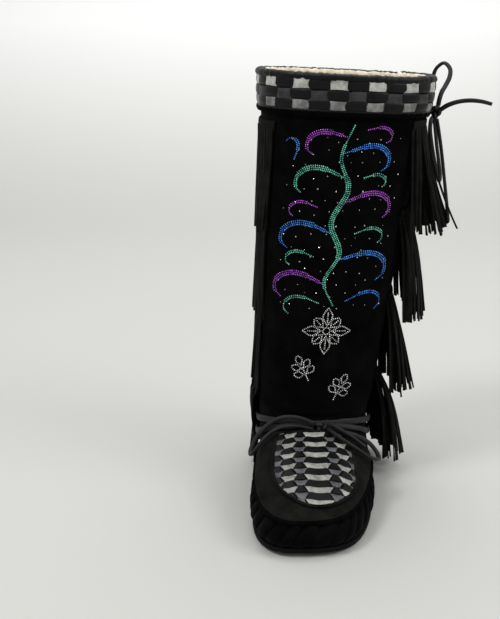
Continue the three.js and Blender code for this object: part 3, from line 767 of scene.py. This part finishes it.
weave = {
    "pitch": 14 * mm, "front": 250 * mm, "first": 247 * mm, "corner": 205 * mm, "back": 158 * mm,
    "half": 35 * mm, "middle": -5 * mm, "narrowFrom": 200 * mm, "narrow": 0.16,
    "base": 3.1 * mm, "swing": 0.85 * mm, "thick": 0.9 * mm, "hem": 0.5 * mm, "gap": 0.3 * mm,
    "slant": 1.8 * mm, "bow": 0.8 * mm, "edgeDeep": 0.4 * mm,
    "bar": 0.56, "barBase": 2.95 * mm, "barSoft": 1.6 * mm,
    "bend": 1.2 * mm, "bendFrom": 2.5 * mm, "bendLong": 30 * mm,
    "columns": [  # both sides in millimetres, step and leather
        # the paler columns wear the darker copy of the silver leather, with painted shade
        (-35, -28, 0.5, pewter), (-28, -17, 0.0, shadedSilver), (-17, -8, 0.5, pewter),
        (-8, 13, 0.0, shadedSilver), (13, 21.5, 0.5, pewter), (21.5, 30.5, 0.0, shadedSilver),
        (30.5, 35, 0.5, pewter),
    ],
}


def squareWave(phase, sharp=2.6):
    return math.tanh(sharp * math.cos(phase)) / math.tanh(sharp)


def weaveReach(x):
    share = min(1.0, abs(x - weave["middle"]) / weave["half"])
    return mixed(weave["corner"], weave["front"], math.sqrt(1 - share * share)) - weave["hem"]


def weaveX(across, forward):  # the inset narrows a little towards the ankle
    share = max(0.0, (weave["narrowFrom"] - forward) / (weave["narrowFrom"] - weave["back"]))
    return weave["middle"] + across * (1 - weave["narrow"] * share * share)


def weaveSpot(across, forward, lift):
    return dropOn(weaveX(across, forward), shape["heelCentre"] - forward, lift)


def columnEdges(column, forward):  # both sides of a strip, from the inset's middle line
    low, high, step, _ = weave["columns"][column]
    turn = ((weave["first"] - forward) / weave["pitch"] + 0.25) % 1.0
    slant = weave["slant"] * (4 * abs(turn - 0.5) - 1) * (1 if step == 0.0 else -1)
    left = low * mm + (slant if column > 0 else 0.0)
    right = high * mm - (slant if column < len(weave["columns"]) - 1 else 0.0)
    return left, right


def weaveStrip(column):
    low, high, step, material = weave["columns"][column]

    def place(u, v):
        end = weaveReach(weave["middle"] + mixed(low, high, v) * mm)
        forward = mixed(end, weave["back"], u)
        left, right = columnEdges(column, forward)
        bow = weave["bow"] * math.cos(fullTurn * (v - 0.5))
        phase = fullTurn * ((weave["first"] - forward + bow) / weave["pitch"] - step)
        lift = weave["base"] + weave["swing"] * squareWave(phase) - edgeDrop(v, weave["edgeDeep"], 6)
        return weaveSpot(mixed(left + weave["gap"], right - weave["gap"], v), forward, lift)

    return makeSheet("strip", 110, 6, place, up, weave["thick"], material)


def weaveBar(i):  # half a pitch behind the one before, over one set of columns and under the other
    forward = weave["first"] - (0.5 + i / 2) * weave["pitch"]

    def place(u, v):
        across = mixed(-1, 1, u) * weave["half"]
        bend = weave["bend"] * math.cos(fullTurn * (across - weave["bendFrom"]) / weave["bendLong"])
        spot = forward + (v - 0.5) * weave["bar"] * weave["pitch"] + bend
        spot = min(spot, weaveReach(weave["middle"] + across))
        swing = 0.0
        for column, (_, _, step, _) in enumerate(weave["columns"]):
            left, right = columnEdges(column, spot)
            inside = min(across - left, right - across)
            if inside > 0:
                over = (i % 2 == 0) == (step == 0.0)
                swing = smoothStep(inside, 0, weave["barSoft"]) * weave["swing"] * (1 if over else -1)
        return weaveSpot(across, spot, weave["barBase"] + swing)

    return makeSheet("bar", 130, 6, place, up, weave["thick"], black)


def makeVampWeave():
    bars = int(2 * (weave["front"] - weave["back"]) / weave["pitch"]) - 1
    pieces = [weaveStrip(column) for column in range(len(weave["columns"]))]
    pieces += [weaveBar(i) for i in range(bars)]
    ready(joinPieces("vamp-weave", pieces), "woven_strips", "vamp_weave", smooth=50)


# The apron's rolled edge round the inset, with square corners at the ankle

insetEdge = {
    "radius": 1.5 * mm, "low": 0.75, "out": 0.4, "base": 3.2 * mm, "stitches": 70, "pucker": 0.1,
    "middle": -160 * mm, "cornerBack": 0.8, "cornerWide": 1.9, "cornerRound": 0.7,
}


def makeInsetEdge():
    def place(u, v):
        sideways = math.sin(fullTurn * u)
        ahead = math.cos(fullTurn * u)
        end = weave["front"]
        if ahead <= 0:
            end = weave["back"]
            ahead = abs(ahead) ** insetEdge["cornerBack"]
            wide = min(1, abs(sideways) * insetEdge["cornerWide"]) ** insetEdge["cornerRound"]
            sideways = math.copysign(wide, sideways)
        forward = mixed(weave["corner"], end, ahead)
        pucker = 1 + insetEdge["pucker"] * math.sin(fullTurn * u * insetEdge["stitches"])
        x = weaveX(weave["half"] * sideways, forward)
        y = shape["heelCentre"] - forward
        outward = Vector((x - weave["middle"], y - insetEdge["middle"], 0)).normalized()
        reach = insetEdge["radius"] * (insetEdge["out"] + pucker * math.cos(fullTurn * v))
        lift = insetEdge["base"] + insetEdge["low"] * insetEdge["radius"] * pucker * math.sin(fullTurn * v)
        return dropOn(x + outward.x * reach, y + outward.y * reach, lift)

    edge = closedGrid("inset-edge", 300, 10, place)
    # the inset edge wears the lighter copy of the suede, with painted light
    dress(edge, litSuede)
    ready(joinPieces("apron", [apronTop, edge]), "suede", "apron")


makeVampWeave()
makeInsetEdge()
print("vamp woven")


# Front panel: wool cloth sewn down its edges

panel = {
    "foot": 80 * mm, "head": 349.5 * mm, "footHalf": 53.5 * mm, "headHalf": 58.5 * mm, "shift": 2 * mm,
    "offset": 1.5 * mm, "thick": 1.2 * mm, "tilt": 0.035, "angles": (0.2, 1.5),  # an edge lies between these
    "ripple": 0.35 * mm, "hem": 0.5 * mm, "hemWide": 0.035, "groove": 0.35 * mm, "grooveAt": 0.045,
    "grooveWide": 0.008, "columns": 120, "rows": 90,
}


def panelEdge(z, side):
    share = (z - panel["foot"]) / (panel["head"] - panel["foot"])
    half = mixed(panel["footHalf"], panel["headHalf"], share)
    low, high = panel["angles"]
    for _ in range(18):
        middle = (low + high) / 2
        hit, _ = shaftHit(side * middle, z)
        if abs(hit.x - leanAt(z) + panel["shift"] * share) < half:
            low = middle
        else:
            high = middle
    return side * low


def makePanel():
    heights = [mixed(panel["foot"], panel["head"], i / panel["rows"]) for i in range(panel["rows"] + 1)]
    edges = [(panelEdge(z, -1), panelEdge(z, 1)) for z in heights]

    def place(u, v):
        row = round(v * panel["rows"])
        angle = mixed(*edges[row], u)
        z = heights[row]
        lower = panel["tilt"] * v * (shaftHit(angle, z)[0].x - leanAt(z))
        hit, outward = shaftHit(angle, z - lower)
        side = min(u, 1 - u)
        lift = panel["offset"] + panel["ripple"] * noise.noise(Vector((u * 5, v * 9, 3)))
        lift += panel["hem"] * (1 - smoothStep(side, 0.0, panel["hemWide"]))
        lift -= panel["groove"] * math.exp(-((side - panel["grooveAt"]) / panel["grooveWide"]) ** 2)
        return hit + outward * lift

    columns, rows = panel["columns"], panel["rows"]
    piece = makeSheet("front-panel", columns, rows, place, outwardAt(0), panel["thick"], wool)
    ready(piece, "cloth", "front_panel")
    return piece


panelTree = treeOf(makePanel())
print("panel done")


# Beadwork: a climbing vine with curling tendrils, a star flower and leaf sprays, all of generic kind.
# Apart from the bead's size it is in millimetres, from the panel's middle line and from the floor.

beads = {
    "size": 1.5 * mm, "squash": Vector((1, 0.78, 0.95)),  # across, along the thread and out of the cloth
    "sink": 0.3, "sizes": (0.92, 1.06), "step": 1.7, "row": 1.75, "stepsEach": 14,
    "stem": [(3, 184), (-7, 206), (4, 232), (-6, 260), (6, 290), (-3, 318), (6, 347)],
    "tendrils": [  # colour, rows, start, length, heading from upright in degrees and the way it curls
        ("purple", 3, (-6, 203), 66, -70, 1), ("blue", 3, (3, 226), 68, 80, -1),
        ("blue", 3, (-5, 250), 66, -72, 1), ("purple", 3, (2, 277), 64, 72, -1),
        ("teal", 3, (2, 300), 64, -72, 1), ("blue", 3, (0, 322), 60, 78, -1),
        ("purple", 3, (0, 336), 52, -80, 1), ("blue", 2, (14, 188), 48, 70, -1),
        ("teal", 2, (-10, 186), 46, -75, 1), ("teal", 2, (16, 250), 38, 75, -1),
        ("purple", 2, (-20, 274), 36, -75, 1), ("blue", 2, (-44, 316), 28, 10, 1),
        ("teal", 2, (19, 300), 30, 80, -1), ("teal", 2, (-19, 229), 36, -75, 1),
        ("purple", 2, (18, 342), 34, 85, -1),
    ],
    "bends": 8, "bendFirst": 0.12, "bendMore": 0.13,
    "flower": (0, 160), "petals": 8, "petalNear": 5, "petalFar": 22, "petalShort": 0.78, "petalWide": 4.4,
    "vein": 3.5, "ring": 3.2,
    "sprays": [((-19, 126), -0.5), ((19, 108), 0.4)],  # tip and lean
    "leaves": [(0, 0), (-3, 0.95), (-3, -0.95), (-9, 1.15), (-9, -1.15)],  # rise and turn
    "stalk": (-15, -7, 0), "leaf": (1.5, 11.5, 2.9),
}


# One mesh of many copies of a small shape, each set down by its own place and directions
def scatter(name, template, spots):
    corners, faces = [], []
    for where, across, along, out, size in spots:
        start = len(corners)
        for vertex in template.data.vertices:
            c = vertex.co
            corners.append(where + (across * c.x + along * c.y + out * c.z) * size)
        faces += [tuple(i + start for i in polygon.vertices) for polygon in template.data.polygons]
    return newPiece(name, corners, faces)


def pointAt(start, heading, out, side=0.0):  # some way out along a heading and to the side of it
    x = start[0] + out * math.sin(heading) + side * math.cos(heading)
    return x, start[1] + out * math.cos(heading) - side * math.sin(heading)


def tendril(start, length, heading, way):  # its bend tightens towards the tip
    points = [start]
    for k in range(beads["bends"]):
        heading += way * (beads["bendFirst"] - beads["bendMore"] * k)
        points.append(pointAt(points[-1], heading, length / beads["bends"]))
    return points


def evenly(points):  # places and directions of the beads along a smooth line
    line = [(p.x / mm, p.z / mm) for p in smoothLine([(x, 0, z) for x, z in points], beads["stepsEach"])]
    spots, left = [], 0.0
    for (x0, z0), (x1, z1) in zip(line, line[1:]):
        length = math.hypot(x1 - x0, z1 - z0)
        if length < 1e-6:
            continue
        while left <= length:
            t = left / length
            spots.append((mixed(x0, x1, t), mixed(z0, z1, t), (x1 - x0) / length, (z1 - z0) / length))
            left += beads["step"]
        left -= length
    return spots


def beadSpot(x, z, dx, dz, size=1.0):
    height = z * mm
    hit, normal, _, _ = panelTree.ray_cast(Vector((leanAt(height) + x * mm, -0.3, height)), Vector((0, 1, 0)))
    if hit is None:
        return None
    along = Vector((dx, 0, dz))
    along = (along - normal * along.dot(normal)).normalized()
    across = along.cross(normal).normalized()
    place = hit + normal * (beads["size"] * beads["sink"])
    return place, across, along, normal, size * random.uniform(*beads["sizes"])


def beadSpots():
    spots = {colour: [] for colour in beadGlass}

    def addLine(colour, rows, points):  # with fewer rows towards both ends
        made = evenly(points)
        for i, (x, z, dx, dz) in enumerate(made):
            share = i / max(1, len(made) - 1)
            edge = min(share, 1 - share)
            full = max(1, rows - (1 if edge < 0.28 else 0) - (1 if edge < 0.1 else 0))
            for k in range(full):
                side = (k - (full - 1) / 2) * beads["row"]
                spots[colour].append(beadSpot(x - dz * side, z + dx * side, dx, dz))

    def addPetal(start, heading, near, far, spread):
        for side in (-spread, spread):
            ways = ((near, 0), (mixed(near, far, 0.5), side), (far, 0))
            addLine("silver", 1, [pointAt(start, heading, out, aside) for out, aside in ways])

    addLine("teal", 3, beads["stem"])
    for colour, rows, start, length, heading, way in beads["tendrils"]:
        addLine(colour, rows, tendril(start, length, math.radians(heading), way))
    for i in range(beads["petals"]):
        heading = fullTurn * i / beads["petals"]
        near = beads["petalNear"]
        far = beads["petalFar"] * (1.0 if i % 2 == 0 else beads["petalShort"])
        addPetal(beads["flower"], heading, near, far, beads["petalWide"])
        vein = (near + beads["vein"], far - beads["vein"])
        addLine("silver", 1, [pointAt(beads["flower"], heading, out) for out in vein])
    addLine("silver", 1, [pointAt(beads["flower"], fullTurn * k / 12, beads["ring"]) for k in range(13)])
    for tip, lean in beads["sprays"]:
        addLine("silver", 1, [pointAt(tip, lean, out) for out in beads["stalk"]])
        for rise, turn in beads["leaves"]:
            addPetal(pointAt(tip, lean, rise), lean + turn, *beads["leaf"])
    return spots


def makeBeadwork():
    deselectAll()
    bpy.ops.mesh.primitive_uv_sphere_add(segments=8, ring_count=5, radius=beads["size"] / 2)
    bead = bpy.context.object
    for vertex in bead.data.vertices:
        vertex.co = vertex.co * beads["squash"]
    for colour, spots in beadSpots().items():
        kept = [spot for spot in spots if spot]
        ready(scatter(colour + "-beads", bead, kept), "cloth", material=beadGlass[colour])
        print(colour, "beads", len(kept))
    bpy.data.objects.remove(bead)


# Cut stones, strewn over the cloth round the vine, in millimetres but for their size

stones = {
    "radius": 0.65 * mm, "rows": 15, "columns": 8, "left": -46, "pitch": 13, "foot": 184, "tall": 160,
    "strayWide": 3.2, "strayTall": 3, "reach": 50, "sizes": (0.6, 1.1),
}


def makeStones():
    deselectAll()
    bpy.ops.mesh.primitive_ico_sphere_add(subdivisions=1, radius=stones["radius"])
    stone = bpy.context.object
    spots = []
    for row in range(stones["rows"]):
        for column in range(stones["columns"]):
            x = stones["left"] + stones["pitch"] * (column + (row % 2) / 2)
            x += random.uniform(-stones["strayWide"], stones["strayWide"])
            z = stones["foot"] + stones["tall"] * row / stones["rows"]
            z += random.uniform(-stones["strayTall"], stones["strayTall"])
            turn = (random.uniform(-1, 1), random.uniform(0.2, 1))
            spot = beadSpot(x, z, *turn, random.uniform(*stones["sizes"]))
            if abs(x) < stones["reach"] and spot:
                spots.append(spot)
    ready(scatter("cut-stones", stone, spots), "cloth", smooth=None, material=crystal)
    bpy.data.objects.remove(stone)


makeBeadwork()
makeStones()
print("beadwork done")


# Collar: three leather strips woven through black uprights, a rolled binding and the drawstring's casing

collar = {
    "checks": 15, "phase": 0.66, "base": 2.2 * mm, "swing": 1.1 * mm, "thick": 1.0 * mm, "sharp": 1.9,
    "rows": [  # height, width, step and leather
        (380.2 * mm, 8.6 * mm, 0.0, silver), (370.6 * mm, 8.4 * mm, 0.5, charcoal),
        (362.4 * mm, 7.6 * mm, 0.0, grey),
    ],
    "stripEdge": 0.4 * mm, "ripple": 0.25 * mm, "wobble": 0.9 * mm,
    "foot": 357.6 * mm, "head": 385.5 * mm, "level": 370 * mm,
    "upright": 0.57, "uprightEdge": 0.5 * mm, "sway": 0.08,
    "rails": [  # heights and offsets of the rail at the foot and of the backing
        ((356.4 * mm, 358.8 * mm), (0.8 * mm, 3.3 * mm)), ((357 * mm, 385 * mm), (0.5 * mm, 0.9 * mm)),
    ],
}
collarTable = roundTable(collar["level"])


def collarAngle(share):
    return angleAt(collarTable, share * collarTable[-1])


def collarAt(share, height, offset):  # over the rim a point keeps the rim's outline
    z = min(height, shape["rim"] - shape["rimClear"])
    risen = (z - shape["tiltFrom"]) / (shape["rim"] - shape["tiltFrom"])
    tilt = mixed(shape["tiltLow"], shape["tiltHigh"], risen)
    angle = collarAngle(share)
    across = shaftHit(angle, z)[0].x - leanAt(z)
    hit, outward = shaftHit(angle, z - tilt * across)
    return hit + outward * offset + up * (height - z)


def collarStrip(height, tall, step, material):
    def place(u, v):
        checks = u * collar["checks"]
        swing = squareWave(fullTurn * (checks - step - collar["phase"]), collar["sharp"])
        ripple = collar["ripple"] * noise.noise(Vector((u * 160, v * 2, height * 900)))
        wobble = collar["wobble"] * noise.noise(Vector((checks * 1.7, height * 700, 4)))
        lift = collar["base"] + collar["swing"] * swing - edgeDrop(v, collar["stripEdge"], 6) + ripple
        return collarAt(u, height + wobble + (v - 0.5) * tall, lift)

    strip = closedGrid("strip", collar["checks"] * 16, 5, place)
    applyModifier(strip, "SOLIDIFY", thickness=collar["thick"], offset=-1)
    dress(strip, material)
    return strip


def collarUpright(i):  # over one strip and under the next
    centre = (i / 2 + collar["phase"]) / collar["checks"]
    top, bottom = collar["rows"][0][0], collar["rows"][2][0]

    def place(u, v):
        height = mixed(collar["foot"], collar["head"], v)
        turn = (height - bottom) / (top - bottom) * fullTurn
        swing = squareWave(turn, collar["sharp"]) * (-1 if i % 2 == 0 else 1)
        sway = collar["sway"] * noise.noise(Vector((i * 3.1, height * 120, 8)))
        lift = collar["base"] + collar["swing"] * swing - edgeDrop(u, collar["uprightEdge"], 4)
        return collarAt(centre + ((u - 0.5) * collar["upright"] + sway) / collar["checks"], height, lift)

    outward = shaftHit(collarAngle(centre), collar["level"])[1]
    return makeSheet("upright", 6, 26, place, outward, collar["thick"], black)


# A tube round the collar, with wrinkles if it has a ripple
def collarRing(name, heights, offsets, columns, sides, ripple, material):
    def place(u, v):
        x, y = math.sin(fullTurn * u), math.cos(fullTurn * u)
        wrinkle = noise.noise(Vector((x * 22, y * 22, 5))) + 0.6 * noise.noise(Vector((x * 60, y * 60, 9)))
        return collarAt(u, *ovalSection(v, heights, offsets, ripple * wrinkle))

    ring = closedGrid(name, columns, sides, place)
    dress(ring, material)
    return ring


def makeCollar():
    pieces = [collarStrip(*row) for row in collar["rows"]]
    pieces += [collarUpright(i) for i in range(2 * collar["checks"])]
    pieces += [collarRing("rail", *ends, 180, 8, 0.0, black) for ends in collar["rails"]]
    ready(joinPieces("collar-band", pieces), "woven_strips", "collar_band", smooth=50)
    heights, offsets = (382.4 * mm, 389.6 * mm), (-4.6 * mm, 4.1 * mm)
    binding = collarRing("collar-binding", heights, offsets, 320, 16, 0.8 * mm, black)
    ready(binding, "suede", "collar_binding")
    heights, offsets = (352.6 * mm, 357.6 * mm), (0.4 * mm, 3.6 * mm)
    casing = collarRing("drawstring-casing", heights, offsets, 480, 16, 0.9 * mm, suede)
    ready(casing, "suede", "drawstring_casing")


makeCollar()
print("collar woven")


# Lining: a fleece edge that shows inside the rim, and the pile down the shaft

lining = {
    "head": 383.9 * mm, "foot": 100 * mm, "inset": 5.2 * mm, "pile": 1.4 * mm, "thick": 1.2 * mm,
    "rimClear": 6 * mm, "tilt": 0.045, "tiltFrom": 300 * mm,
    "edgeHeights": (380 * mm, 388.5 * mm), "edgeOffsets": (-9.2 * mm, -3.6 * mm), "edgeRipple": 1.1 * mm,
}


def makeLining():
    def place(u, v):
        angle = fullTurn * u
        z = mixed(lining["head"], lining["foot"], v)
        lumps = lining["pile"] * noise.noise(Vector((math.sin(angle) * 14, math.cos(angle) * 14, z * 190)))
        hit, outward = shaftHit(angle, min(z, shape["rim"] - lining["rimClear"]))
        hit.z = z - lining["tilt"] * (hit.x - leanAt(z)) * smoothStep(z, lining["tiltFrom"], shape["rim"])
        return hit - outward * (lining["inset"] + lumps)

    pile = closedGrid("fleece-lining", 200, 90, place)
    applyModifier(pile, "SOLIDIFY", thickness=lining["thick"], offset=0)
    ready(pile, "felt", smooth=80, material=fleece)
    heights, offsets = lining["edgeHeights"], lining["edgeOffsets"]
    ready(collarRing("fleece-edge", heights, offsets, 300, 16, lining["edgeRipple"], fleece), "felt")


makeLining()
print("lining done")


# Fringe: narrow strips cut from one suede band, hanging two deep from a sewn heading

fringe = {
    "width": 4.7 * mm, "gap": 5.0 * mm, "thick": 1.3 * mm, "steps": 14,
    "heading": 8 * mm, "headingLap": 1 * mm, "headingOut": (0.5 * mm, 2.6 * mm), "ripple": 0.3 * mm,
    "panelGap": 3 * mm, "tuck": 1.5 * mm,
    "layers": [(0.9 * mm, 0.6), (2.4 * mm, 1.0)],  # offset and share of the bulge
    "outerSide": 0.45 * math.pi, "flareSpread": 0.9, "tuftSpread": 0.22, "tuftUnder": 0.6, "stray": 0.8,
    "stand": 5 * mm, "clear": 1.8 * mm, "overLace": 4.5 * mm, "laceTop": (75 * mm, 95 * mm),
    "footTop": 36 * mm,
    "jitter": 0.9 * mm, "clumpDrift": 6 * mm, "ownDrift": 3.2 * mm, "wander": 0.9 * mm,
    "slant": 0.9 * mm, "curl": 0.35 * mm,
    "tiers": [  # node, head height, length, then swing and bulge at the outer side
        ("fringe_tier_1", 348 * mm, 104 * mm, 28 * mm, 3 * mm),
        ("fringe_tier_2", 268 * mm, 108 * mm, 5 * mm, 12 * mm),
        ("fringe_tier_3", 188 * mm, 102 * mm, 15 * mm, 9 * mm),
        ("fringe_tier_4", 112 * mm, 99 * mm, 10 * mm, 19 * mm),
    ],
}


def nearOuterSide(angle, spread):
    return math.exp(-(((angle - fringe["outerSide"]) / spread) ** 2))


# The corners of one strip's sections, from the heading down. It stands off the shaft, drifts, turns and
# curls, and in the upper layer the tuft at the outer side and a few strays swing out.
def cutStrip(i, angle, order, low, length, swing, bulge):
    steps = fringe["steps"]
    offset, bulgeShare = fringe["layers"][i % 2]
    clump = noise.noise(Vector((i * 0.13, order * 7.7, 1.5)))
    own = random.uniform(-1, 1)
    outer = nearOuterSide(angle, fringe["flareSpread"])
    tuft = nearOuterSide(angle, fringe["tuftSpread"])
    stray = fringe["stray"] * smoothStep(random.random(), 0.6, 1.0)
    swung = fringe["tuftUnder"] * tuft if i % 2 == 0 else max(tuft * (0.8 + 0.2 * own), stray)
    flare = fringe["stand"] * (0.3 + 0.7 * abs(clump)) + swing * outer * (0.1 + 0.1 * own + 0.85 * swung)
    drift = fringe["clumpDrift"] * clump + fringe["ownDrift"] * random.uniform(-1, 1)
    wander = random.uniform(0, 6)
    turn = random.uniform(-0.7, 0.7) + 0.8 * clump
    hang = length * (1 + 0.03 * own + 0.06 * clump) - fringe["heading"]
    root, outward = shaftHit(angle, low)
    sideways = Vector((-outward.y, outward.x, 0))
    path = []
    for k in range(steps + 1):
        t = k / steps
        z = low + fringe["tuck"] - t * hang
        away = offset + flare * (0.4 * t + 0.6 * t * t) + bulge * outer * bulgeShare * (1 - (1 - t) ** 3)
        if z > fringe["footTop"]:  # clear of the shaft, and of the lace round the ankle
            wall = (shaftHit(angle, z)[0] - root).dot(outward)
            over = fringe["overLace"] * (1 - smoothStep(z, *fringe["laceTop"]))
            away = max(away, wall + offset + fringe["clear"] * t + over)
        aside = drift * t * t + fringe["wander"] * t * math.sin(5 * t + wander)
        spot = root + outward * away + sideways * aside
        spot.z = z
        path.append(spot)
    corners = []
    for k, spot in enumerate(path):
        t = k / steps
        ahead = (path[min(k + 1, steps)] - path[max(k - 1, 0)]).normalized()
        wide = (sideways - ahead * sideways.dot(ahead)).normalized()
        out = wide.cross(ahead)
        a = turn * t * t
        wide, out = wide * math.cos(a) + out * math.sin(a), out * math.cos(a) - wide * math.sin(a)
        side = wide * (fringe["width"] / 2 * (1 - 0.06 * math.sin(9 * t + i)))
        side += out * (fringe["curl"] * math.sin(5 * t + i))
        if k == steps:
            side += ahead * (fringe["slant"] * own)
        thick = out * (fringe["thick"] / 2)
        corners += [spot - side - thick, spot + side - thick, spot + side + thick, spot - side + thick]
    return corners


def stripFaces(count):
    along = 4 * fringe["steps"]
    faces = []
    for base in range(0, count * (along + 4), along + 4):
        tip = base + along
        for a in range(base, tip, 4):
            faces += [(a + j, a + (j + 1) % 4, a + 4 + (j + 1) % 4, a + 4 + j) for j in range(4)]
        faces += [(base + 3, base + 2, base + 1, base), (tip, tip + 1, tip + 2, tip + 3)]
    return faces


def makeFringe(order, node, head, length, swing, bulge):
    low = head - fringe["heading"]
    table = roundTable(low)
    start = lengthAt(table, panelEdge(head, 1)) + fringe["panelGap"]
    end = lengthAt(table, fullTurn + panelEdge(head, -1)) - fringe["panelGap"]
    count = int((end - start) / fringe["gap"])

    def headingPlace(u, v):
        height, out = ovalSection(v, (low - fringe["headingLap"], head), fringe["headingOut"])
        hit, outward = shaftHit(angleAt(table, mixed(start, end, u)), height)
        return hit + outward * (out + fringe["ripple"] * noise.noise(Vector((u * 60, order, 0))))

    heading = closedGrid("heading", 160, 8, headingPlace)
    corners = []
    for i in range(2 * count):
        spot = start + (i + 1) / 2 * (end - start) / (count + 1)
        angle = angleAt(table, spot + fringe["jitter"] * random.uniform(-1, 1))
        corners += cutStrip(i, angle, order, low, length, swing, bulge)
    strips = newPiece("strips", corners, stripFaces(2 * count))
    piece = joinPieces(node.replace("_", "-"), [strips, heading])
    # the fringe wears the lighter copy of the suede, with painted light
    ready(piece, "suede", node, smooth=35, material=litSuede)


for order, tier in enumerate(fringe["tiers"]):
    makeFringe(order, *tier)
print("fringe cut")


# Ankle lace: two turns round the instep, which drop towards the heel and cross at the sides

lace = {
    "wide": 6.2 * mm, "thick": 2.2 * mm, "gap": 1.5 * mm, "lap": 0.9 * mm, "frontForward": 148 * mm,
    "frontHeight": 71 * mm, "start": 60 * mm, "fall": 24 * mm, "within": 45 * mm, "ahead": -20 * mm,
    "cross": 0.12, "lean": 0.4, "rounds": 10, "approach": 0.7,
}


def laceTurn(way):
    def place(u, v):
        z = lace["start"]
        for _ in range(lace["rounds"]):
            hit, normal, _, _ = rayInwards(Vector((0, shape["middle"], z)), outwardAt(fullTurn * u))
            back = max(hit.y - shape["heelCentre"] + lace["frontForward"], lace["ahead"])
            drop = lace["fall"] * (1 - math.exp(-back / lace["within"]))
            z = mixed(z, lace["frontHeight"] - drop + hit.x * lace["cross"] * way, lace["approach"])
        flat = Vector((normal.x, normal.y, normal.z * lace["lean"])).normalized()
        rise = (up - flat * up.dot(flat)).normalized()
        low = lace["gap"] + (lace["lap"] if way > 0 else 0.0)
        height, depth = ovalSection(v, (-lace["wide"] / 2, lace["wide"] / 2), (low, low + lace["thick"]))
        return hit + rise * height + flat * depth

    return closedGrid("turn", 150, 12, place)


ready(joinPieces("ankle-lace", [laceTurn(1), laceTurn(-1)]), "suede", "ankle_lace", material=lacing)
print("lace tied")


# Stage: a pale floor that curves up behind, darker low down with painted shade, four soft lights and an even
# room, in metres and watts

stage = {
    "half": 4, "front": -3, "length": 8, "bendAt": 1.2, "radius": 1.5, "paintedShadeTop": 0.45,
    "room": "#f8f8f7", "roomLight": 0.6,
    "lights": {  # place, target, size and power
        "softKey": ((-0.9, -0.7, 1.9), (0, -0.05, 0.15), 0.6, 16),
        "softFill": ((1.3, -0.6, 1.3), (0, -0.05, 0.15), 1.0, 11),
        "softWall": ((0.2, 1.3, 2.4), (0.1, 2.6, 0.5), 1.5, 18),
        "softTop": ((0.1, 0.5, 2.1), (0, -0.05, 0.2), 1.6, 15),
    },
}


def makeFloor():
    def place(u, v):
        x = mixed(-stage["half"], stage["half"], u)
        beyond = stage["front"] + stage["length"] * v - stage["bendAt"]
        if beyond < 0:
            return Vector((x, stage["bendAt"] + beyond, 0))
        turn = min(beyond / stage["radius"], math.pi / 2)
        rest = beyond - stage["radius"] * turn
        y = stage["bendAt"] + stage["radius"] * math.sin(turn)
        return Vector((x, y, stage["radius"] * (1 - math.cos(turn)) + rest))

    floor = shapedGrid("floor", 2, 120, place)
    faceTowards(floor, up)
    shadeSmooth(floor, 80)
    material, shader = newMaterial("paleFloor", {"Roughness": 0.9})
    spot = addNode(material, "TexCoord").outputs["Object"]
    height = addNode(material, "SeparateXYZ", {"Vector": spot}).outputs["Z"]
    share = addNode(material, "MapRange", {"Value": height, "From Max": stage["paintedShadeTop"]}).outputs["Result"]
    # painted shade: the floor is darker low down and grows pale as it rises up the curve behind
    finishMaterial(material, shader, colourRamp(material, share, [(0.0, "#bdbdba"), (1.0, "#f2f2f1")]))
    dress(floor, material)


def addLight(name, place, target, size, power):
    light = bpy.data.lights.new(name, "AREA")
    light.shape = "DISK"
    light.size = size
    light.energy = power
    holder = bpy.data.objects.new(name, light)
    holder.location = place
    holder.rotation_euler = (Vector(target) - Vector(place)).to_track_quat("-Z", "Y").to_euler()
    bpy.context.collection.objects.link(holder)


def lightRoom():
    world = bpy.data.worlds.new("studio")
    world.use_nodes = True
    world.node_tree.nodes["Background"].inputs["Color"].default_value = linear(stage["room"])
    world.node_tree.nodes["Background"].inputs["Strength"].default_value = stage["roomLight"]
    bpy.context.scene.world = world
    bpy.context.scene.view_settings.view_transform = "Standard"


makeFloor()
for name, light in stage["lights"].items():
    addLight(name, *light)
lightRoom()
print("stage set")
